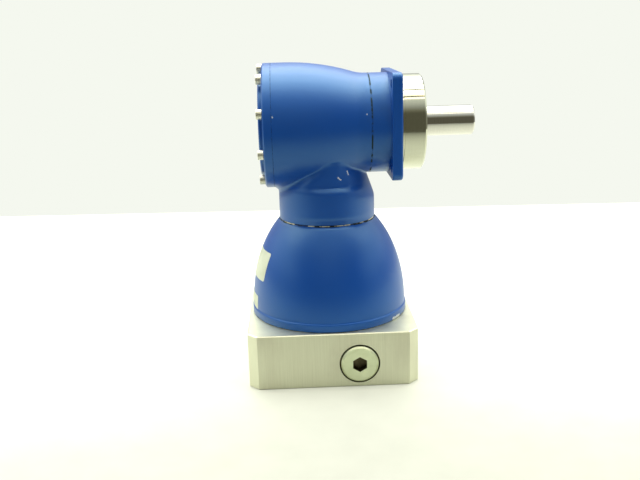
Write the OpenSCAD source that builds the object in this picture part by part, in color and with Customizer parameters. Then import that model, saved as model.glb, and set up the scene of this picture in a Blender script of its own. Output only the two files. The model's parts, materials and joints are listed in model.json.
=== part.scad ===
// Right angle bevel gearbox for a servo motor.
// The motor bolts to the square plate below, and its shaft is clamped in the coupling inside the bell.
// A spiral bevel pinion on the upright input shaft drives the crown gear on the output shaft.
// Millimetres, +Z up along the input axis, +X along the output shaft.
// The origin is the centre of the motor pilot on the plate's motor face.

/* [Motor side] */
// Diameter of the motor's pilot
motor_pilot_d = 95; // [80:1:110]
// Depth of the motor pilot recess
motor_pilot_depth = 6; // [3:0.5:9]
// Bolt circle of the motor flange
motor_pcd = 115; // [110:1:135]
// Tapping size of the motor bolt holes
motor_bolt_core_d = 6.8; // [5:0.1:8.5]
// Depth of the motor bolt holes
motor_bolt_depth = 20; // [12:1:28]
// Diameter of the motor shaft that the coupling takes
motor_shaft_d = 24; // [14:1:28]
// Height of the motor plate
plate_h = 41; // [36:0.5:60]
// Width of the plate beyond the bell's rim
plate_margin = 2.25; // [1:0.25:15]
// Chamfer on the plate's upright corners
plate_chamfer = 7; // [2:0.5:10]
// Chamfer on the plate's top and bottom edges
plate_edge = 0.6; // [0.2:0.1:1.5]
// Bore through the plate, round the coupling
plate_bore_d = 84; // [72:1:86]
// Thread size of the screws between plate and bell
plate_screw_d = 6; // [4:1:6]
// Turn of the plate screws from the plate's faces
plate_screw_turn = -10; // [-16:1:16]

/* [Access plug] */
// Width of the round recess for the plug
plug_recess_d = 29.4; // [26:0.2:31]
// Depth of the plug's recess
plug_recess_depth = 5; // [3:0.5:7]
// Diameter of the plug's head
plug_head_d = 27; // [24:0.5:28]
// How far the plug's head stands out of the plate
plug_proud = 1.75; // [0.5:0.25:3]
// Thread size of the plug
plug_thread_d = 22; // [18:1:23]
// Length of the plug's thread
plug_thread_len = 10; // [6:0.5:11]
// Width across flats of the plug's hexagon socket
plug_socket = 10; // [6:1:12]
// Thickness of the sealing washer under the plug's head
plug_washer_t = 1; // [0.5:0.25:2]

/* [Bell] */
// Height of the bell
bell_h = 72.5; // [68:0.5:90]
// Wall of the bell
bell_wall = 6; // [4:0.5:8]
// Thickness of the bell's roof
bell_roof_t = 9.5; // [8.5:0.5:12]
// Height of the rim at the bell's foot
bell_rim_h = 6; // [4:0.5:9]
// How far the rim stands out from the bell's wall
bell_rim_step = 0.8; // [0.6:0.2:3]
// Height of the thick foot ring inside the bell
bell_foot_h = 14; // [12:0.5:18]
// Height of the spigot between bell and plate
foot_spigot_h = 3; // [2:0.5:4]
// Thickness of the shim between bell and neck
shim_t = 0.6; // [0.4:0.1:1.5]
// Thread size of the screws between bell and neck
bell_screw_d = 5; // [4:1:5]
// Number of screws between bell and neck
bell_screws_n = 6; // [4:1:8]

/* [Gears] */
// Module at the outer end of the teeth
gear_module = 2; // [1.8:0.05:2.2]
// Teeth of the pinion
pinion_teeth = 12; // [11:1:14]
// Teeth of the crown gear
crown_teeth = 36; // [34:1:40]
// Length of the teeth
face_w = 11; // [8:0.5:12]
// Pressure angle
pressure_angle = 20; // [17.5:2.5:22.5]
// Turn of the crown gear's teeth over their length, which makes them spiral
spiral_turn = 9; // [0:0.5:12]
// Play between the tooth flanks, measured round the pitch circle
backlash = 0.2; // [0.1:0.05:0.4]
// Room between the crown gear and the housing
gear_room = 1.1; // [0.8:0.1:3]

/* [Housing] */
// Wall of the barrel at its wide end
barrel_wall = 8; // [7.5:0.5:12]
// Wall of the neck round the input bearings
neck_wall = 12.5; // [12:0.5:16]
// Height of the straight part of the neck
neck_straight_h = 13; // [10:0.5:14]
// How far the neck draws in under the output flange
neck_draw = 6; // [2:0.5:6.5]
// Height above the neck's foot where the draw ends
waist_h = 29; // [26:0.5:34]
// Thickness of the web above the input bearings
shoulder_t = 2.5; // [2:0.25:5]
// Thickness of the web behind the output flange
web_t = 8.5; // [7.5:0.5:12]

/* [Rear cover] */
// Thickness of the cover's rim
cover_rim_t = 6.5; // [5:0.5:8]
// How far the rear face of the bearing lies inside the joint
cover_inset = 1.5; // [0.5:0.5:2.5]
// Thickness of the cover's middle
cover_wall = 5; // [3:0.5:6]
// Thread size of the cover screws
cover_screw_d = 4; // [3:1:4]
// Number of cover screws
cover_screws_n = 9; // [6:1:12]
// Turn of the first cover screw above the near side
cover_screw_turn = 17.7; // [0:0.1:39]

/* [Output flange] */
// Width of the flange's flat face beside the pilot
flange_land = 3; // [2:0.5:10]
// Thickness of the output flange
flange_t = 7.5; // [5:0.5:10]
// Rounding of the flange's corners
flange_corner = 3; // [1:0.5:8]
// Chamfer round the flange's front face
flange_edge = 1; // [0.5:0.25:2.5]
// Length of the round part behind the flange
flange_neck_len = 14; // [10:0.5:24]
// Wall of the round part behind the flange
flange_neck_wall = 4.5; // [3.5:0.5:5]
// Bolt circle of the output flange
flange_pcd = 85; // [84:0.5:95]
// Bolt holes of the output flange
flange_hole_d = 6.6; // [4.5:0.1:6.6]
// Wall of the output pilot round the front bearing
pilot_wall = 4; // [3:0.5:6]
// Length of the output pilot
pilot_len = 17.5; // [16:0.5:28]
// Depth of the relief groove at the pilot's foot
pilot_groove = 0.8; // [0.3:0.1:1.2]
// Thread size of the screws between housing and output flange
flange_screw_d = 5; // [4:1:5]
// Number of screws between housing and output flange
flange_screws_n = 6; // [4:1:6]

/* [Output shaft] */
// Diameter of the output shaft
shaft_d = 22; // [16:1:24]
// Length of the output shaft beyond the pilot
shaft_len = 39; // [28:1:60]
// Diameter of the shaft under the lip seal
seal_land_d = 25; // [24.5:0.5:27]
// How far the seal land stands out of the pilot
seal_land_out = 2; // [1:0.5:5]
// Diameter of the shaft under the gear hub
gear_seat_d = 34; // [32:1:36]
// Chamfer at the shaft's end
shaft_edge = 1; // [0.5:0.25:2]

/* [Bearings] */
// Bore of the front output bearing
front_bore_d = 30; // [28:1:32]
// Outside diameter of the front output bearing
front_outer_d = 62; // [58:1:64]
// Width of the front output bearing
front_w = 16; // [14:1:18]
// Bore of the rear output and both input bearings
small_bore_d = 25; // [24:1:26]
// Outside diameter of the rear output and both input bearings
small_outer_d = 47; // [45:1:48]
// Width of the rear output and both input bearings
small_w = 12; // [10:1:14]
// Length of the spacers between the input bearings
spacer_h = 3.5; // [2:0.5:8]
// Balls in each bearing
balls_n = 9; // [7:1:9]
// Height of the bell's spigot inside the neck
neck_spigot_h = 1.9; // [1.5:0.1:4]
// Height of the lock nuts
nut_h = 5; // [4:0.5:6]

/* [Coupling] */
// Diameter of the input shaft in the coupling
input_shaft_d = 22; // [18:1:23]
// Diameter of the coupling's clamping hub
clamp_hub_d = 58; // [54:1:64]
// Height of the clamping hub's wide part
clamp_hub_h = 23; // [22:0.5:26]
// Height of the clamping hub's foot above the motor face
clamp_hub_z = 7; // [6.5:0.5:9]
// Diameter of the upper hub and of the bellows' flanges
hub_d = 48; // [44:1:50]
// Height of the upper hub
upper_hub_h = 17; // [15:0.5:20]
// Distance of the clamp screw and of the plug from the input axis
clamp_screw_x = 18.6; // [18:0.2:20]
// Height of the clamp screw and of the plug
clamp_screw_z = 17.65; // [17:0.05:19]
// Thread size of the clamp screw
clamp_screw_d = 8; // [6:1:8]
// Width of the clamping slit
slit_w = 2; // [1:0.25:3]
// Waves of the bellows
waves_n = 5; // [3:1:6]
// Wall of the bellows
bellows_wall = 0.8; // [0.5:0.1:1.2]

/* [Fits] */
// Gap round a seated piece
fit = 0.03; // [0.02:0.01:0.05]
// Gap between a ball and its race, and between a seal's lip and its shaft
run = 0.1; // [0.08:0.01:0.15]
// Gap round a screw in its clearance hole
screw_play = 0.25; // [0.1:0.05:0.5]

/* [Hidden] */
$fn = 96;
// How far a cut runs past the face that it opens
over = 0.5;
// Room in front of a spigot or a screw head, so that it seats on its shoulder
seat_room = 0.2;

// Bevel gear geometry, on cones that meet where the two axes cross
shift = 0.35;
root_room = 0.2;
crown_r = gear_module * crown_teeth / 2;
pinion_r = gear_module * pinion_teeth / 2;
cone_len = norm([crown_r, pinion_r]);
toe_len = cone_len - face_w;
crown_cone = atan2(crown_r, pinion_r);
pinion_cone = 90 - crown_cone;
crown_tip = crown_cone + atan(gear_module * (1 - shift) / cone_len);
crown_root = crown_cone - atan(gear_module * (1 + root_room + shift) / cone_len);
pinion_tip = pinion_cone + atan(gear_module * (1 + shift) / cone_len);
pinion_root = pinion_cone - atan(gear_module * (1 + root_room - shift) / cone_len);
crown_tip_r = cone_len * sin(crown_tip);
pinion_tip_r = cone_len * sin(pinion_tip);
flank_steps = 3;
length_steps = 4;

// Radii of the housing, from the gears and bearings outwards
cavity_r = crown_tip_r + gear_room;
barrel_r = cavity_r + barrel_wall;
small_r = small_outer_d / 2;
front_r = front_outer_d / 2;
neck_r = small_r + neck_wall;
waist_shift = neck_draw / 2;
waist_r = neck_r - waist_shift;
flange_spigot_wall = 10;
flange_spigot_r = front_r + 1;
flange_bore_r = flange_spigot_r - flange_spigot_wall;
front_barrel_r = flange_spigot_r + flange_neck_wall;
web_bore_r = flange_bore_r - 1;
pilot_r = front_r + pilot_wall;
clip_groove_r = front_r + 1.6;
flange_side = 2 * (pilot_r + flange_land);
pinion_pocket_r = pinion_tip_r + 3.4;

// Heights of the input side, from the motor face upwards
bell_top = plate_h + bell_h;
roof_z = bell_top - bell_roof_t;
neck_foot = bell_top + shim_t;
lower_z = neck_foot + neck_spigot_h;
spacer_z = lower_z + small_w;
upper_z = spacer_z + spacer_h;
shoulder_z = upper_z + small_w;
out_z = shoulder_z + shoulder_t + cavity_r;
draw_z = neck_foot + neck_straight_h;
waist_z = neck_foot + waist_h;
nut_room = 1;
input_nut_z = lower_z - nut_h;
input_seal_h = input_nut_z - nut_room - roof_z;

// Places along the output axis, from the gears towards the shaft's end
web_room = 1;
web_x = pinion_tip_r + web_room;
spigot_x = web_x + web_t;
flange_spigot_len = 8;
seam_x = spigot_x + flange_spigot_len;
flange_back_x = seam_x + flange_neck_len;
flange_face_x = flange_back_x + flange_t;
pilot_face_x = flange_face_x + pilot_len;
shaft_end_x = pilot_face_x + shaft_len;
seal_inset = 1.5;
seal_w = 7;
circlip_t = 2;
seal_x = pilot_face_x - seal_inset - seal_w;
circlip_x = seal_x - 2 - circlip_t;
front_x = circlip_x - front_w;
front_collar_t = 4;

// Places along the output axis, from the gears towards the rear cover
crown_body = 3.1;
crown_front_x = 1 - toe_len * cos(crown_root);
crown_back_x = -cone_len * cos(crown_root) - crown_body;
hub_front_x = crown_front_x + 0.5;
gear_collar_t = 5;
hub_flange_t = 5.5;
hub_back_x = crown_back_x - hub_flange_t;
thrust_t = 1.5;
rear_front_x = hub_back_x - thrust_t;
rear_x = rear_front_x - small_w;
nut_x = rear_x - nut_h;
cover_in_x = nut_x - nut_room;
boss_x = cover_in_x - cover_wall;
cover_seam_x = rear_x - cover_inset;
cover_rim_x = cover_seam_x - cover_rim_t;
cover_spigot_len = 5.5;

// Radii on the shafts
gear_seat_r = gear_seat_d / 2;
small_bore_r = small_bore_d / 2;
front_bore_r = front_bore_d / 2;
seal_land_r = seal_land_d / 2;
thread_drop = 0.1;
nut_r = small_bore_r + 5;
nut_recess_r = nut_r + 1.5;
crown_bore_r = gear_seat_r + 4;
crown_rim_r = cone_len * sin(crown_root);
crown_screw_d = 4;
crown_screws_n = 8;
crown_screw_r = (crown_bore_r + crown_rim_r) / 2;
crown_screw_depth = 4.5;
low_head_h = 2.8;
cup_r = small_r + 5.5;
thrust_r = gear_seat_r + 2.5;
key_w = 6;
key_h = 5;
key_sink = 3;

// Screws: head width and height follow the thread size
function head_d(d) = 1.5 * d + 1;
head_room = 0.5;
flange_screw_r = flange_bore_r + flange_screw_d / 2 + 2.25;
web_r = flange_screw_r + head_d(flange_screw_d) / 2 + 0.75;
flange_screw_grip = web_t - flange_screw_d - seat_room;
flange_screw_depth = 2.2 * flange_screw_d;
cover_screw_r = cavity_r + barrel_wall / 2;
first_cover_turn = -90 - cover_screw_turn;
cover_screw_depth = 2.5 * cover_screw_d;
bell_screw_r = small_r + neck_wall / 2;
bell_screw_depth = neck_straight_h - 1;
plate_head_r = head_d(plate_screw_d) / 2 + head_room;
plate_screw_r = motor_pilot_d / 2 + 1.5 + plate_head_r;
plate_screw_grip = 16;
plate_screw_depth = bell_foot_h - 3;
screw_tip_room = 1;

// Bell and plate, from the plate screws outwards
bell_rim_r = plate_screw_r + plate_screw_d / 2 + 2;
plate_side = 2 * (bell_rim_r + plate_margin);
bell_base_r = bell_rim_r - bell_rim_step;
bell_top_r = neck_r + 0.5;
bell_base_z = plate_h + bell_rim_h + 1;
bell_sweep = acos(bell_top_r / bell_base_r);
bell_rise = (bell_top - bell_base_z) / sin(bell_sweep);
foot_bore_r = plate_bore_d / 2 + 2;
foot_spigot_r = foot_bore_r + 4;
curve_steps = 14;

// Coupling, between the motor's shaft and the input shaft
hub_r = hub_d / 2;
cuff_h = 5;
cuff_r = hub_r - 4;
hub_top = roof_z - bell_screw_d - 1;
upper_hub_z = hub_top - upper_hub_h;
clamp_hub_top = clamp_hub_z + clamp_hub_h + 10;
input_shaft_r = input_shaft_d / 2;
input_seal_r = input_shaft_r + 6.5;
upper_screw_d = 6;
upper_screw_x = input_shaft_r + upper_screw_d / 2 + 2.5;
upper_screw_z = (upper_hub_z + hub_top) / 2;

// Sealing rings and plug
cord_d = 2;
groove_w = 2.4;
plug_face_y = -plate_side / 2;
plug_seat_y = plug_face_y + plug_recess_depth;

// Bearing records: bore, outside, width, ball, pitch radius
function bearing(bore, outer, w) = [bore, outer, w, 0.3 * (outer - bore), (bore + outer) / 4];
front_bearing = bearing(front_bore_d, front_outer_d, front_w);
small_bearing = bearing(small_bore_d, small_outer_d, small_w);

paint = "royalblue";
bare_metal = "lightgray";
steel = "silver";
dark_steel = "dimgray";
rubber = "#222222";
brass = "goldenrod";

// Curves for turned profiles, as [along the axis, radius]

// Two tangent arcs that lead from one radius to another, the first one taking the given share
function s_curve(x0, r0, x1, r1, share, steps) =
  let (l = x1 - x0, d = r1 - r0, a = 2 * atan2(abs(d), l), sum = l / sin(a))
  let (first = share * sum, second = sum - first, side = sign(d))
  concat(
    [for (i = [0:steps]) let (t = a * i / steps) [x0 + first * sin(t), r0 + side * first * (1 - cos(t))]],
    [for (i = [1:steps])
      let (t = a * (1 - i / steps)) [x1 - second * sin(t), r1 - side * second * (1 - cos(t))]]);

// Radius of the bell's elliptical wall at a height
function bell_r(z) = bell_base_r * sqrt(1 - pow((z - bell_base_z) / bell_rise, 2));

function swap(points) = [for (p = points) [p[1], p[0]]];

// Placing helpers

// Turn a shape that stands on Z so that it lies along the output axis
module along_output(x = 0) {
  translate([x, 0, out_z]) rotate([0, 90, 0]) children();
}

// Turned solid from [along the axis, radius] points
module turned(points) {
  rotate_extrude() polygon(swap(points));
}

module around(count, radius, turn = 0) {
  for (i = [0:count - 1]) rotate([0, 0, turn + i * 360 / count]) translate([radius, 0, 0]) children();
}

module ring(inner, outer, h, edge = 0) {
  rotate_extrude() polygon([
    [inner, edge], [inner + edge, 0], [outer - edge, 0], [outer, edge],
    [outer, h - edge], [outer - edge, h], [inner + edge, h], [inner, h - edge]
  ]);
}

// Socket cap screw, its head standing on the plane Z = 0 and its shank pointing down
module cap_screw(d, length, head_h) {
  socket_w = 0.75 * d;
  socket_depth = 0.55 * head_h;
  edge = 0.06 * d;
  difference() {
    turned([
      [-length, 0], [-length, d / 2 - 2 * edge], [2 * edge - length, d / 2], [0, d / 2],
      [0, head_d(d) / 2], [head_h - edge, head_d(d) / 2], [head_h, head_d(d) / 2 - edge], [head_h, 0]
    ]);
    translate([0, 0, head_h - socket_depth])
      cylinder(r = socket_w / sqrt(3), h = socket_depth + over, $fn = 6);
  }
}

// Sealing cord ring whose groove opens outwards at the given radius
module cord_ring(seat_r, x) {
  rotate_extrude() translate([seat_r - cord_d / 2, x]) circle(d = cord_d - 2 * fit, $fn = 32);
}

module cord_groove(seat_r, x) {
  translate([0, 0, x - groove_w / 2]) ring(seat_r - cord_d, seat_r + over, groove_w);
}

// Lip seal, its closed side facing up
module lip_seal(outer, inner, w) {
  flare = 0.2 * (outer - inner);
  lip = 0.1 * (outer - inner);
  rotate_extrude() polygon([
    [outer, 0], [outer, w], [inner + flare, w], [inner, 0.85 * w], [inner + lip, 0.65 * w],
    [inner + lip, 0.32 * w], [inner, 0.22 * w], [inner + flare, 0], [inner + 1.5 * flare, 0],
    [inner + 1.5 * flare, 0.65 * w], [outer - flare, 0.65 * w], [outer - flare, 0]
  ]);
}

module lock_nut(bore_r, outer_r, h) {
  slot_w = 4;
  slot_depth = 1.8;
  difference() {
    ring(bore_r, outer_r, h, 0.4);
    translate([0, 0, h / 2]) around(4, outer_r) cube([2 * slot_depth, slot_w, h + 2 * over], center = true);
  }
}

// Ball bearing pieces, standing on Z = 0

function land_in(b) = b[4] - 0.4 * b[3];
function land_out(b) = b[4] + 0.4 * b[3];

module race_groove(b) {
  translate([0, 0, b[2] / 2]) rotate_extrude() translate([b[4], 0]) circle(r = b[3] / 2 + run, $fn = 48);
}

module outer_ring(b) {
  difference() {
    ring(land_out(b), b[1] / 2 - fit, b[2], 0.6);
    race_groove(b);
  }
}

module inner_ring(b) {
  difference() {
    ring(b[0] / 2, land_in(b), b[2], 0.6);
    race_groove(b);
  }
}

module balls(b) {
  translate([0, 0, b[2] / 2]) around(balls_n, b[4]) sphere(d = b[3], $fn = 32);
}

module cage(b) {
  cage_w = b[3] + 2.4;
  cage_t = 0.3 * b[3];
  difference() {
    translate([0, 0, (b[2] - cage_w) / 2]) ring(b[4] - cage_t / 2, b[4] + cage_t / 2, cage_w);
    translate([0, 0, b[2] / 2]) around(balls_n, b[4])
      rotate([0, 90, 0]) cylinder(r = b[3] / 2 + run, h = 2 * cage_t, center = true, $fn = 32);
  }
}

// Bevel gear teeth

// Angle round the axis at which a spherical involute stands, on the cone of half angle a
function involute(a, base) =
  a <= base ? 0 : acos(cos(a) / cos(base)) / sin(base) - acos(tan(base) / tan(a));

// Half of a tooth as [cone angle, half thickness angle], from root to tip
function tooth_half(cone, root, tip, half) =
  let (base = asin(sin(cone) * cos(pressure_angle)))
  [for (i = [0:flank_steps])
    let (a = root + (tip - root) * i / flank_steps)
    [a, half + involute(cone, base) - involute(a, base)]];

// One section of a gear at a distance from the apex, as [distance, cone angle, angle round the axis]
function tooth_ring(dist, teeth, halves, turn) =
  [for (k = [0:teeth - 1])
    each concat(
      [for (p = halves) [dist, p[0], turn + k * 360 / teeth - p[1]]],
      [for (i = [flank_steps:-1:0]) [dist, halves[i][0], turn + k * 360 / teeth + halves[i][1]]])];

// A circle with the angles of a section, as [angle round the axis, radius, depth below the apex]
function plain_ring(section, radius, depth) = [for (p = section) [p[2], radius, depth]];
function cone_ring(section) = [for (p = section) [p[2], p[0] * sin(p[1]), p[0] * cos(p[1])]];

// Triangles between neighbouring rings of n points each
function ring_faces(rings, n, closed) =
  [for (j = [0:closed ? rings - 1 : rings - 2], i = [0:n - 1])
    let (k = (i + 1) % n, a = j * n, b = ((j + 1) % rings) * n)
    each [[a + i, a + k, b + k], [a + i, b + k, b + i]]];

function crown_spiral(dist) = spiral_turn * (dist - cone_len + face_w / 2) / face_w;
function section_at(i) = toe_len + face_w * i / length_steps;

play_half = backlash / 4;
function half_tooth(teeth, r, side) = 90 / teeth + side * 360 * shift * tan(pressure_angle) / (PI * teeth)
  - play_half / r * 180 / PI;
crown_halves = tooth_half(crown_cone, crown_root, crown_tip, half_tooth(crown_teeth, crown_r, -1));
pinion_halves = tooth_half(pinion_cone, pinion_root, pinion_tip, half_tooth(pinion_teeth, pinion_r, 1));

// Crown gear sections: a tooth gap faces straight down, where a tooth of the pinion stands
function crown_section(i) =
  tooth_ring(section_at(i), crown_teeth, crown_halves, 180 / crown_teeth + crown_spiral(section_at(i)));
function pinion_section(i) =
  tooth_ring(section_at(i), pinion_teeth, pinion_halves,
    -crown_spiral(section_at(i)) * crown_teeth / pinion_teeth);

module crown_blank() {
  first = crown_section(0);
  last = crown_section(length_steps);
  rings = concat(
    [plain_ring(first, crown_bore_r, -crown_front_x)],
    [for (i = [0:length_steps]) cone_ring(crown_section(i))],
    [plain_ring(last, crown_rim_r, -crown_back_x), plain_ring(last, crown_bore_r, -crown_back_x)]);
  points = [for (r = rings, p = r) [-p[2], p[1] * sin(p[0]), -p[1] * cos(p[0])]];
  polyhedron(points, ring_faces(len(rings), len(first), true), convexity = 10);
}

module pinion_blank() {
  first = pinion_section(0);
  last = pinion_section(length_steps);
  n = len(first);
  toe_depth = toe_len * cos(pinion_root);
  rings = concat(
    [plain_ring(first, 0.8 * toe_len * sin(pinion_root), toe_depth)],
    [for (i = [0:length_steps]) cone_ring(pinion_section(i))],
    [plain_ring(last, 0.75 * small_bore_r, out_z - shoulder_z - 1)]);
  points = [for (r = rings, p = r) [-p[1] * cos(p[0]), -p[1] * sin(p[0]), -p[2]]];
  caps = [[for (i = [n - 1:-1:0]) i], [for (i = [0:n - 1]) (len(rings) - 1) * n + i]];
  polyhedron(points, concat(ring_faces(len(rings), n, false), caps), convexity = 10);
}

// Housing group

barrel_profile = concat(
  [[cover_seam_x, 0], [cover_seam_x, barrel_r]],
  s_curve(cover_seam_x + 10, barrel_r, seam_x - 2, front_barrel_r, 0.84, 8),
  [[seam_x, front_barrel_r], [seam_x, 0]]);

// Neck that is round at its foot and draws in on the output side, its far side staying upright
module neck() {
  draw_h = waist_z - draw_z;
  lean = waist_shift / draw_h;
  translate([0, 0, neck_foot]) cylinder(r = neck_r, h = neck_straight_h);
  translate([0, 0, draw_z]) multmatrix([[1, 0, -lean, 0], [0, 1, 0, 0], [0, 0, 1, 0]])
    cylinder(r1 = neck_r, r2 = waist_r, h = draw_h);
  translate([-waist_shift, 0, waist_z]) cylinder(r = waist_r, h = out_z - front_barrel_r / 2 - waist_z);
}

cavity_profile = [
  [cover_seam_x - over, 0], [cover_seam_x - over, cavity_r], [0, cavity_r],
  [web_x, web_r], [web_x, web_bore_r], [spigot_x - seat_room, web_bore_r],
  [spigot_x - seat_room, flange_spigot_r], [seam_x + over, flange_spigot_r], [seam_x + over, 0]
];

module gear_housing() {
  color(paint) difference() {
    union() {
      along_output() turned(barrel_profile);
      neck();
    }
    along_output() turned(cavity_profile);
    along_output(seam_x) cylinder(r = front_barrel_r + 1, h = flange_neck_len);
    translate([0, 0, neck_foot - over]) cylinder(r = small_r, h = shoulder_z - neck_foot + over);
    translate([0, 0, shoulder_z - over]) cylinder(r = pinion_pocket_r, h = out_z - shoulder_z);
    along_output(web_x) around(flange_screws_n, flange_screw_r, 180 / flange_screws_n) {
      translate([0, 0, -over]) cylinder(d = flange_screw_d + 2 * screw_play, h = web_t + 2 * over);
      translate([0, 0, -over])
        cylinder(d = head_d(flange_screw_d) + head_room, h = web_t - flange_screw_grip + over);
    }
    along_output(cover_seam_x) around(cover_screws_n, cover_screw_r, first_cover_turn)
      translate([0, 0, -over])
      cylinder(d = cover_screw_d + 2 * fit, h = cover_screw_depth + screw_tip_room + over);
    translate([0, 0, neck_foot - over]) around(bell_screws_n, bell_screw_r)
      cylinder(d = bell_screw_d + 2 * fit, h = bell_screw_depth + screw_tip_room + over);
  }
}

module rear_cover() {
  boss_r = cover_screw_r - head_d(cover_screw_d) / 2 - 1.5;
  boss_edge = 0.8;
  rim_edge = 1;
  cup_end_x = rear_front_x - 0.5;
  color(paint) along_output() difference() {
    turned([
      [boss_x, 0], [boss_x, boss_r - boss_edge], [boss_x + boss_edge, boss_r], [cover_rim_x, boss_r],
      [cover_rim_x, barrel_r - rim_edge], [cover_rim_x + rim_edge, barrel_r], [cover_seam_x, barrel_r],
      [cover_seam_x, cavity_r - fit], [cover_seam_x + cover_spigot_len, cavity_r - fit],
      [cover_seam_x + cover_spigot_len, cup_r], [cup_end_x, cup_r], [cup_end_x, small_r],
      [rear_x, small_r], [rear_x, nut_recess_r], [cover_in_x, nut_recess_r], [cover_in_x, 0]
    ]);
    cord_groove(cavity_r - fit, cover_seam_x + cover_spigot_len / 2);
    translate([0, 0, cover_rim_x - over]) around(cover_screws_n, cover_screw_r, first_cover_turn)
      cylinder(d = cover_screw_d + 2 * screw_play, h = cover_rim_t + 2 * over);
  }
}

module rear_cover_screws() {
  color(steel) along_output(cover_rim_x) around(cover_screws_n, cover_screw_r, first_cover_turn)
    rotate([180, 0, 0]) cap_screw(cover_screw_d, cover_rim_t + cover_screw_depth, cover_screw_d);
}

module rear_cover_o_ring() {
  color(rubber) along_output() cord_ring(cavity_r - fit, cover_seam_x + cover_spigot_len / 2);
}

// Square plate with round corners, the edges of its front face cut off
module edged_square(side, corner, h, edge) {
  cutter_w = edge * sqrt(2);
  difference() {
    linear_extrude(h) round_square(side, corner);
    for (turn = [0:90:270]) rotate([0, 0, turn]) translate([side / 2, 0, h]) rotate([0, 45, 0])
      cube([cutter_w, side, cutter_w], center = true);
  }
}

module round_square(side, corner) {
  inset = side / 2 - corner;
  square([side, 2 * inset], center = true);
  square([2 * inset, side], center = true);
  for (x = [-inset, inset], y = [-inset, inset]) translate([x, y]) circle(r = corner);
}

module output_flange() {
  pilot_edge = 1.2;
  groove_len = 2;
  groove_r = pilot_r - pilot_groove;
  face_relief = 0.4;
  color(paint) along_output() difference() {
    union() {
      translate([0, 0, flange_back_x]) edged_square(flange_side, flange_corner, flange_t, flange_edge);
      turned([
        [spigot_x, 0], [spigot_x, flange_spigot_r - fit], [seam_x, flange_spigot_r - fit],
        [seam_x, front_barrel_r], [flange_back_x + flange_t / 2, front_barrel_r],
        [flange_back_x + flange_t / 2, groove_r], [flange_face_x + groove_len, groove_r],
        [flange_face_x + groove_len, pilot_r], [pilot_face_x - pilot_edge, pilot_r],
        [pilot_face_x, pilot_r - pilot_edge], [pilot_face_x, 0]
      ]);
    }
    turned([
      [spigot_x - over, 0], [spigot_x - over, flange_bore_r], [front_x, flange_bore_r], [front_x, front_r],
      [circlip_x, front_r], [circlip_x, clip_groove_r], [circlip_x + circlip_t + 2 * fit, clip_groove_r],
      [circlip_x + circlip_t + 2 * fit, front_r], [pilot_face_x + over, front_r], [pilot_face_x + over, 0]
    ]);
    translate([0, 0, flange_face_x - face_relief]) ring(groove_r, pilot_r + face_relief, face_relief + over);
    cord_groove(flange_spigot_r - fit, spigot_x + flange_spigot_len / 2);
    translate([0, 0, spigot_x - over]) around(flange_screws_n, flange_screw_r, 180 / flange_screws_n)
      cylinder(d = flange_screw_d + 2 * fit, h = flange_screw_depth + screw_tip_room + over);
    translate([0, 0, flange_back_x - over]) around(4, flange_pcd / 2, 45)
      cylinder(d = flange_hole_d, h = flange_t + 2 * over);
  }
}

module output_flange_screws() {
  color(dark_steel) along_output(spigot_x - flange_screw_grip)
    around(flange_screws_n, flange_screw_r, 180 / flange_screws_n)
    rotate([180, 0, 0]) cap_screw(flange_screw_d, flange_screw_grip + flange_screw_depth, flange_screw_d);
}

module output_flange_o_ring() {
  color(rubber) along_output() cord_ring(flange_spigot_r - fit, spigot_x + flange_spigot_len / 2);
}

module output_seal() {
  color(rubber) along_output(seal_x) lip_seal(front_r - fit, seal_land_r + run, seal_w);
}

module front_bearing_outer_ring() {
  color(steel) along_output(front_x) outer_ring(front_bearing);
}

// Inner snap ring with a gap and two ears
module front_bearing_circlip() {
  clip_r = clip_groove_r - 2 * fit;
  clip_w = 4;
  gap_w = 10;
  ear_r = 2.6;
  ear_hole_d = 2;
  ear_y = gap_w / 2 + ear_r;
  ear_x = front_r - 3.2;
  color(dark_steel) along_output(circlip_x + fit) difference() {
    union() {
      difference() {
        ring(clip_r - clip_w, clip_r, circlip_t);
        translate([front_r, 0, circlip_t / 2]) cube([3 * clip_w, gap_w, circlip_t + 2 * over], center = true);
      }
      for (side = [-1, 1]) translate([ear_x, side * ear_y, 0]) cylinder(r = ear_r, h = circlip_t);
    }
    for (side = [-1, 1]) translate([ear_x, side * ear_y, -over])
      cylinder(d = ear_hole_d, h = circlip_t + 2 * over);
  }
}

module rear_bearing_outer_ring() {
  color(steel) along_output(rear_x) outer_ring(small_bearing);
}

module upper_bearing_outer_ring() {
  color(steel) translate([0, 0, upper_z]) outer_ring(small_bearing);
}

module lower_bearing_outer_ring() {
  color(steel) translate([0, 0, lower_z]) outer_ring(small_bearing);
}

module outer_spacer() {
  color(steel) translate([0, 0, spacer_z]) ring(land_out(small_bearing), small_r - fit, spacer_h);
}

module input_seal() {
  color(rubber) translate([0, 0, roof_z]) lip_seal(input_seal_r - fit, input_shaft_r + run, input_seal_h);
}

// Bell group

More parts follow.
